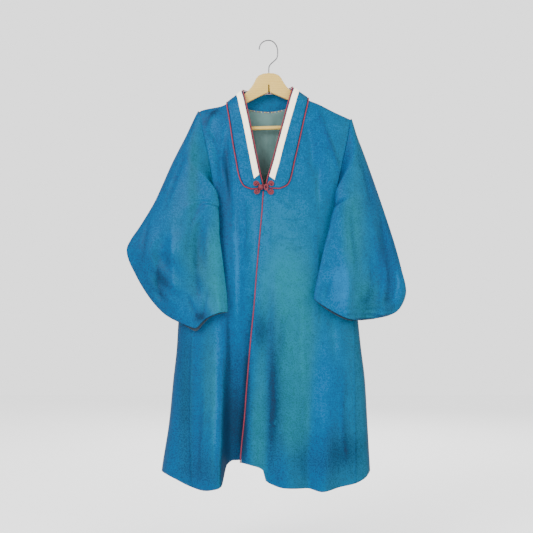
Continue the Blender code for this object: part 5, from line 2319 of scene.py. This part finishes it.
@dataclass
class Piping(Piece):
    """A corded piping: a twisted cord along a route."""

    name: str = ""
    route: Array = None

    def shape(self) -> Object:
        """Makes the cord with its twist.

        Returns:
            The object.
        """
        lengths = lengths_along(self.route)
        steps = np.linspace(0.0, lengths[-1], int(lengths[-1] / PIPING_STEP) + 1)
        path = np.stack([np.interp(steps, lengths, self.route[:, k]) for k in range(3)], axis=1)
        radii = np.full(len(path), PIPING_RADIUS - 0.12)
        mesh = capped_tube(self.name, tube_grid(path, radii, 14, 3, 0.22, PIPING_PITCH))
        mesh.materials.append(self.workshop.material(PIPING_FINISH))
        return scene_object(self.name, mesh)


def beside(points: Array, ups: Array, rise: float, off: float, turn: int) -> Array:
    """Finds a path beside the edge of a piece.

    Args:
        points: The edge.
        ups: Outward normals along it.
        rise: How far the path is raised.
        off: How far it lies away from the edge, in the piece's own plane.
        turn: 1 or -1, for the side that it lies on.

    Returns:
        The path.
    """
    along = np.gradient(points, axis=0)
    return points + unit(np.cross(ups, along)) * turn * off + ups * rise


def piping_routes(body: BodyForm, form: BandForm) -> dict[str, Array]:
    """Finds the middle line of each piping.

    Args:
        body: The coat's body.
        form: The neck band.

    Returns:
        A route for each piping's node.
    """
    positions = np.linspace(0.0, len(BAND) - 1.0, 20 * BAND_STEPS * 3 + 1)
    under, normals = form.grid(positions, np.linspace(0.0, 1.0, BAND_COLUMNS + 1))
    off = PIPING_RADIUS + LAYER
    ends = [1, 2, 3]
    rims = [np.concatenate([rows[0, ends], rows[:, -1], rows[-1, ends[::-1]]]) for rows in (under, normals)]
    band = beside(*rims, off, off, 1)
    neck = beside(under[1:-1, 0], normals[1:-1, 0], BAND_WALL / 2, off, -1)
    surface = body.front(Side.RIGHT)
    first, last = len(YOKE_RIGHT) - 2 + PIPING_START, len(YOKE_RIGHT) - 1 + SKIRT_LEVELS
    downs = np.linspace(first, last, 180)
    edge, inside = surface(np.zeros(180), downs), surface(np.full(180, 1 / 18), downs)
    out = unit(edge - inside)
    inwards = np.array([-surface_normal(body, surface, 0.0, float(d)) for d in downs])
    front = edge + out * off + inwards * WALL / 2
    return {"piping_band": band, "piping_neck": neck, "piping_front": front}


@dataclass
class BackLining(Piece):
    """The lining that shows inside the neck."""

    def shape(self) -> Object:
        """Makes the lining's shell.

        Returns:
            The object.
        """
        x = np.linspace(LINING_LEFT, LINING_RIGHT, 57)[None, :].repeat(97, axis=0)
        neckline = column(NECKLINE, "height", "x")
        top = neckline(x) - LINING_DROP
        z = top + (LINING_FOOT - top) * np.linspace(0.0, 1.0, 97)[:, None]
        depth = self.body.depth(x, z, Side.LEFT, False)
        rises = crease_height(CREASES_LINING, x, z)
        grid = np.stack([x, -depth - WALL - LINING_GAP - np.clip(rises, -0.8, 1.5), z], axis=-1)
        mesh = grid_mesh("back lining", grid)
        mesh.materials.append(self.workshop.material(LINING_FINISH))
        made = scene_object("back_lining_cloth", mesh)
        add_thickness(made, 1.0, -1.0)
        return made


@dataclass
class NeckStitches(Piece):
    """The row of coloured stitches that holds the lining to the neck band at the back."""

    def shape(self) -> Object:
        """Makes each stitch as a small rounded length of thread.

        Returns:
            The object.
        """
        neckline = column(NECKLINE, "height", "x")
        bm = bmesh.new()
        for k, x in enumerate(np.arange(STITCH_LEFT, STITCH_RIGHT, STITCH_PITCH)):
            z = neckline(x) - LINING_DROP - STITCH_DROP
            depth = self.body.depth_at(x, z, Side.LEFT, False)
            lean = math.atan2(neckline(x - 1.0) - neckline(x + 1.0), 2.0)
            place = Vector((x, -depth - WALL - LINING_GAP - STITCH_RISE, z)) * MM
            size = Matrix.Diagonal((*(part * MM for part in STITCH_SIZE), 1.0))
            matrix = Matrix.Translation(place) @ Matrix.Rotation(lean, 4, "Y") @ size
            thread = bmesh.ops.create_icosphere(bm, subdivisions=2, radius=1.0, matrix=matrix)["verts"]
            for face in {face for vert in thread for face in vert.link_faces}:
                face.material_index = k % len(THREAD_FINISHES)
        made = bmesh_object("neck_stitches_thread", bm)
        for finish in THREAD_FINISHES:
            made.data.materials.append(self.workshop.material(finish, on_cloth=False))
        return made


@dataclass
class CordLoop(Piece):
    """The loop of the closure: a twisted cord bent round and joined behind the knot."""

    name: str = ""
    centre: tuple[float, float, float] = (0.0, 0.0, 0.0)

    def shape(self) -> Object:
        """Makes the loop as a closed twisted cord.

        Returns:
            The object.
        """
        turns = np.linspace(0, 2 * np.pi, LOOP_POINTS, endpoint=False)
        wide = LOOP_HALF_WIDTH * np.cos(turns) * (1 + 0.12 * np.sin(turns))
        flat = np.stack([wide, np.zeros(LOOP_POINTS), LOOP_HALF_HEIGHT * np.sin(turns)], axis=1)
        path = np.array(self.centre) + flat
        forward = np.array([0.0, 1.0, 0.0])
        out = np.cross(unit(np.roll(path, -1, axis=0) - np.roll(path, 1, axis=0)), forward)
        angle = np.linspace(0, 2 * np.pi, 16, endpoint=False)
        strands = 3 * angle[None] + LOOP_TWISTS * turns[:, None]
        reach = FROG_CORD_RADIUS - 0.15 + 0.3 * (np.abs(np.cos(strands / 2)) ** 0.6 - 0.75)
        ring = out[:, None] * np.cos(angle)[None, :, None] + forward * np.sin(angle)[None, :, None]
        grid = path[:, None] + ring * reach[..., None]
        mesh = grid_mesh(self.name, np.concatenate([grid, grid[:1]]), wraps=True)
        close_ends(mesh, joined=True)
        mesh.materials.append(self.workshop.material(CORD_FINISH))
        return scene_object(self.name, mesh)


@dataclass
class CoiledLobe(Piece):
    """One round lobe of the closure: a cord coiled flat into a disc, its end led off under the knot."""

    name: str = ""
    centre: tuple[float, float, float] = (0.0, 0.0, 0.0)
    target: tuple[float, float, float] = (0.0, 0.0, 0.0)
    clockwise: bool = False

    def route(self) -> Array:
        """Finds the cord's middle line, from the middle of the coil to the knot.

        Returns:
            Its points in millimetres.
        """
        middle, goal = np.array(self.centre), np.array(self.target)
        way = goal - middle
        reach = COIL_RADIUS - COIL_CORD
        sense = -1.0 if self.clockwise else 1.0
        leave = math.atan2(way[2], way[0]) - sense * math.acos(min(reach / math.hypot(way[0], way[2]), 0.99))
        share = np.linspace(0.0, 1.0, 90)
        radii = COIL_START + (reach - COIL_START) * share
        angles = leave - sense * 2 * np.pi * COIL_TURNS * (1.0 - share)
        dome = -COIL_DOME * (1.0 - share)
        coil = middle + np.stack([radii * np.cos(angles), dome, radii * np.sin(angles)], axis=1)
        onwards = np.linspace(0.06, 0.8, 12)[:, None]
        return np.concatenate([coil, coil[-1] + (goal - coil[-1]) * onwards])

    def shape(self) -> Object:
        """Makes the coil as one capped twisted cord.

        Returns:
            The object.
        """
        path = self.route()
        radii = np.full(len(path), COIL_CORD)
        grid = tube_grid(path, radii, 12, lobes=2, lobe_rise=0.35, pitch=COIL_PITCH)
        mesh = capped_tube(self.name, grid)
        mesh.materials.append(self.workshop.material(CORD_FINISH))
        return scene_object(self.name, mesh)


@dataclass
class Knot(Piece):
    """The knotted ball of the closure, its cord wound over in crossing passes."""

    def shape(self) -> Object:
        """Makes the ball from three rings of cord about a core.

        Returns:
            The object.
        """
        depth = self.body.depth_at(KNOT_X, KNOT_HEIGHT, Side.LEFT, True)
        centre = np.array([KNOT_X, -depth - KNOT_LIFT - KNOT_RADIUS, KNOT_HEIGHT])
        bm = bmesh.new()
        bmesh.ops.create_icosphere(bm, subdivisions=4, radius=1.0)
        for vert in bm.verts:
            way = np.array(vert.co)
            cords = [abs(way @ unit(np.array(axis))) for axis in KNOT_WINDINGS]
            groove = min(abs(math.sin(cord * math.pi * 1.6)) for cord in cords)
            vert.co = Vector(centre + way * (KNOT_RADIUS - 1.1 + 1.2 * groove**0.6)) * MM
        made = bmesh_object("frog_knot_cord", bm)
        made.data.materials.append(self.workshop.material(BALL_FINISH, on_cloth=False))
        return made


@dataclass
class HangerArms(Piece):
    """The flat wooden hanger, its outline rounded over at the edges."""

    def shape(self) -> Object:
        """Makes the arms from their outline.

        Returns:
            The object.
        """
        mirrored = [(-x, z) for x, z in reversed(HANGER_OUTLINE[1:])]
        corners = [Vector((x, 0.0, z - PIVOT_HEIGHT)) for x, z in (*HANGER_OUTLINE, *mirrored)]
        bm = bmesh.new()
        shift = Vector((0.0, HANGER_HALF_THICKNESS, 0.0))
        near = [bm.verts.new((corner - shift) * MM) for corner in corners]
        face = bm.faces.new(near)
        pushed = bmesh.ops.extrude_face_region(bm, geom=[face])
        far = [item for item in pushed["geom"] if isinstance(item, bmesh.types.BMVert)]
        bmesh.ops.translate(bm, verts=far, vec=shift * 2 * MM)
        bmesh.ops.recalc_face_normals(bm, faces=bm.faces)
        rims = [e for e in bm.edges if abs(e.verts[0].co.y - e.verts[1].co.y) < 1e-6]
        bmesh.ops.bevel(bm, geom=rims, offset=2.6 * MM, segments=4, profile=0.5, affect="EDGES", material=-1)
        # A small web closes the slot at the back; its near black finish is painted shade
        across, through_wood, high = (part * MM for part in SLOT_WEB_SIZE)
        web = Matrix.Translation(Vector((0, SLOT_WEB_BACK, SLOT_WEB_HEIGHT - PIVOT_HEIGHT)) * MM)
        web = web @ Matrix.Diagonal((across, through_wood, high, 1.0))
        floor = bmesh.ops.create_cube(bm, size=1.0, matrix=web)["verts"]
        for face in {face for vert in floor for face in vert.link_faces}:
            face.material_index = 1
        turn = Matrix.Rotation(-HANGER_TILT, 4, "Y")
        bmesh.ops.transform(bm, matrix=Matrix.Translation((0, 0, PIVOT_HEIGHT * MM)) @ turn, verts=bm.verts)
        made = bmesh_object("hanger_arms_wood", bm)
        made.data.materials.append(self.workshop.material(WOOD_FINISH, on_cloth=False))
        made.data.materials.append(self.workshop.material(SLOT_PAINTED_SHADE_FINISH, on_cloth=False))
        return made


@dataclass
class TrouserBar(Piece):
    """The turned bar between the hanger's ends."""

    def shape(self) -> Object:
        """Makes the bar.

        Returns:
            The object.
        """
        way = np.array([math.cos(HANGER_TILT), 0.0, math.sin(HANGER_TILT)])
        drop = BAR_HEIGHT - PIVOT_HEIGHT
        middle = np.array([-drop * math.sin(HANGER_TILT), 0.0, PIVOT_HEIGHT + drop * math.cos(HANGER_TILT)])
        along = np.linspace(-BAR_HALF_LENGTH, BAR_HALF_LENGTH, 61)
        swell = BAR_RADIUS - 0.5 * (np.abs(along) / BAR_HALF_LENGTH) ** 6
        path = middle + along[:, None] * way
        mesh = capped_tube("trouser bar", tube_grid(path, swell, 32))
        mesh.materials.append(self.workshop.material(WOOD_FINISH, on_cloth=False))
        return scene_object("trouser_bar_wood", mesh)


@dataclass
class Hook(Piece):
    """The bent wire hook."""

    def shape(self) -> Object:
        """Makes the wire along its route.

        Returns:
            The object.
        """
        corners = np.array([(x, 0.0, z) for x, z in HOOK_ROUTE], float)
        path = through(corners, np.linspace(0.0, len(corners) - 1.0, 200))
        mesh = capped_tube("hook wire", tube_grid(path, np.full(len(path), HOOK_RADIUS), 20))
        mesh.materials.append(self.workshop.material(STEEL_FINISH, on_cloth=False))
        return scene_object("hook_wire", mesh)


def declare_sheets() -> None:
    """Goes through what each sheet of cloth hangs from, and keeps nothing.
    """
    for cut in SHEETS:
        list(cut.rests_on)


def panel_rows(top: float, below: int) -> Array:
    """Spaces the rows of a panel: close at the shoulder, even over the yoke and over the skirt.

    Args:
        top: How many rows its yoke counts.
        below: How many rows the skirt has.

    Returns:
        The places down the panel.
    """
    shoulder = np.linspace(0.0, 0.5, 7)[:-1]
    yoke = np.linspace(0.5, top, 84)[:-1]
    return np.concatenate([shoulder, yoke, np.linspace(top, top + SKIRT_LEVELS, below)])


class Overcoat:
    """The whole coat on its hanger: which pieces there are, and in what order they are made."""

    def __init__(self) -> None:
        """Prepares the forms and finishes."""
        self.body = BodyForm()
        self.band = BandForm(self.body)
        self.shared = {"body": self.body, "workshop": Workshop()}

    def panels(self) -> list[Piece]:
        """The six panels of the body.

        Returns:
            The pieces.
        """
        made: list[Piece] = []
        fields = ("surface", "downs", "columns", "creases", "seams", "turn")
        backs, gores = panel_rows(BACK_YOKE_ROWS, BACK_SKIRT_ROWS), np.linspace(0.0, 1.0, GORE_ROWS)
        for side, cut in CUTS.items():
            fronts, turn = panel_rows(len(cut.yoke) - 1, FRONT_SKIRT_ROWS), side.sign
            plans = (
                ("front", self.body.front(side), fronts, FRONT_COLUMNS, cut.creases, (1,), turn),
                ("back", self.body.back(side), backs, BACK_COLUMNS, CREASES_BACK, (0, 1), -turn),
                ("gore", self.body.gore(side), gores, GORE_FINE_COLUMNS, (), (0, 1), turn),
            )
            for word, *values in plans:
                node = f"{word}_{side.value}"
                plan = dict(zip(fields, values))
                made.append(Panel((node,), "coat_satin", name=f"{node}_satin", **plan, **self.shared))
        return made

    def sleeves(self) -> list[Piece]:
        """Both sleeves.

        Returns:
            The pieces.
        """
        made: list[Piece] = []
        for side in Side:
            node = f"sleeve_{side.value}"
            made.append(Sleeve((node,), "coat_satin", name=f"{node}_satin", side=side, **self.shared))
        return made

    def trims(self) -> list[Piece]:
        """The neck band, its strip, the pipings and the lining inside the neck.

        Returns:
            The pieces.
        """
        made: list[Piece] = [
            NeckBand(("neck_band",), "coat_satin", form=self.band, **self.shared),
            CollarStrip(("collar_strip",), "collar_strip", form=self.band, **self.shared),
            BackLining(("back_lining",), "lining", **self.shared),
            NeckStitches((), "piping", **self.shared),
        ]
        for node, route in piping_routes(self.body, self.band).items():
            made.append(Piping((node,), "piping", name=f"{node}_cord", route=route, **self.shared))
        return made

    def closure(self) -> list[Piece]:
        """The knotted cord closure.

        Returns:
            The pieces.
        """
        common = {"slot": "closure_cord", **self.shared}
        made: list[Piece] = []
        for node, x, z, side, lift in LOBES:
            depth = self.body.depth_at(x, z, side, True)
            centre = (x, -depth - lift - FROG_CORD_RADIUS, z)
            goal = (KNOT_X if side is Side.LEFT else LOOP_X, centre[1], KNOT_HEIGHT)
            upper = z > KNOT_HEIGHT
            turned = upper if side is Side.LEFT else not upper
            sizes = {"centre": centre, "target": goal, "clockwise": turned}
            made.append(CoiledLobe((node,), name=f"{node}_cord", **sizes, **common))
        depth = self.body.depth_at(LOOP_X, KNOT_HEIGHT, Side.RIGHT, True)
        centre = (LOOP_X, -depth - LOOP_LIFT - FROG_CORD_RADIUS, KNOT_HEIGHT)
        made.append(CordLoop(("frog_loop",), name="frog_loop_cord", centre=centre, **common))
        made.append(Knot(("frog_knot",), **common))
        return made

    def hanger(self) -> list[Piece]:
        """The hanger and its hook.

        Returns:
            The pieces.
        """
        return [
            HangerArms(("hanger_arms",), "wood", **self.shared),
            TrouserBar(("trouser_bar",), "wood", **self.shared),
            Hook(("hook",), "wire", **self.shared),
        ]

    def build(self) -> dict[str, Object]:
        """Makes every piece.

        Returns:
            The objects by name.
        """
        made = {}
        for piece in (*self.panels(), *self.sleeves(), *self.trims(), *self.closure(), *self.hanger()):
            placed = piece.place()
            made[placed.name] = placed
            LOG.info("made %s", placed.name)
        return made


class Studio:
    """A plain pale studio round the hung coat."""

    def floor(self) -> Object:
        """Makes a flat pale floor.

        Returns:
            The object.
        """
        bm = bmesh.new()
        bmesh.ops.create_grid(bm, x_segments=2, y_segments=2, size=4.0)
        bmesh.ops.translate(bm, verts=bm.verts, vec=(0.0, 0.0, FLOOR_HEIGHT))
        made = bmesh_object("studio_floor", bm)
        material = bpy.data.materials.new("pale floor")
        material.use_nodes = True
        nodes = NodeMaker(material.node_tree)
        shader = next(n for n in material.node_tree.nodes if n.type == "BSDF_PRINCIPLED")
        noise = nodes.add("ShaderNodeTexNoise", nodes.add("ShaderNodeTexCoord").outputs["Object"])
        pale = nodes.mix(noise.outputs[0], (0.93, 0.93, 0.93), (0.95, 0.95, 0.95))
        nodes.give(shader.inputs["Base Color"], pale)
        shader.inputs["Roughness"].default_value = 0.9
        made.data.materials.append(material)
        return made

    def light(self) -> None:
        """Adds the soft lamps and an even pale surround."""
        world = bpy.data.worlds.new("studio surround")
        world.use_nodes = True
        surround = world.node_tree.nodes["Background"]
        surround.inputs["Color"].default_value = (1.0, 1.0, 1.0, 1.0)
        surround.inputs["Strength"].default_value = SURROUND_STRENGTH
        bpy.context.scene.world = world
        for lamp in LAMPS:
            data = bpy.data.lights.new(lamp.name, "AREA")
            data.size, data.energy, data.color = lamp.size, lamp.watts, lamp.colour
            made = bpy.data.objects.new(lamp.name, data)
            made.location = lamp.place
            aim = Vector((0.0, 0.0, -0.6)) - made.location
            made.rotation_euler = aim.to_track_quat("-Z", "Y").to_euler()
            bpy.context.scene.collection.objects.link(made)

    def camera(self) -> None:
        """Sets the camera where the photo was taken from."""
        data = bpy.data.cameras.new("photo camera")
        data.angle = math.radians(CAMERA_ANGLE)
        made = bpy.data.objects.new("photo camera", data)
        made.location = CAMERA_PLACE
        made.rotation_euler = (math.pi / 2, 0.0, 0.0)
        bpy.context.scene.collection.objects.link(made)
        bpy.context.scene.camera = made


def corners(bounds: object) -> list[list[float]]:
    """Turns bounds into plain lists of numbers.

    Args:
        bounds: The lowest and the highest corner.

    Returns:
        The corners as lists.
    """
    return [[float(v) for v in corner] for corner in bounds]


def main() -> None:
    """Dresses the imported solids."""
    logging.basicConfig(level=logging.INFO, format="%(message)s")
    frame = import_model()
    cad_box = corners(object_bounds())
    made = Overcoat().build()
    declare_sheets()
    studio = Studio()
    studio.floor()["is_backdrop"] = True
    studio.light()
    studio.camera()
    sizes = {"cad": cad_box, "visual": corners(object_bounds())}
    LOG.info("%d pieces stand for %d solids", len(made), len(frame["nodes"]))


if __name__ == "__main__":
    main()
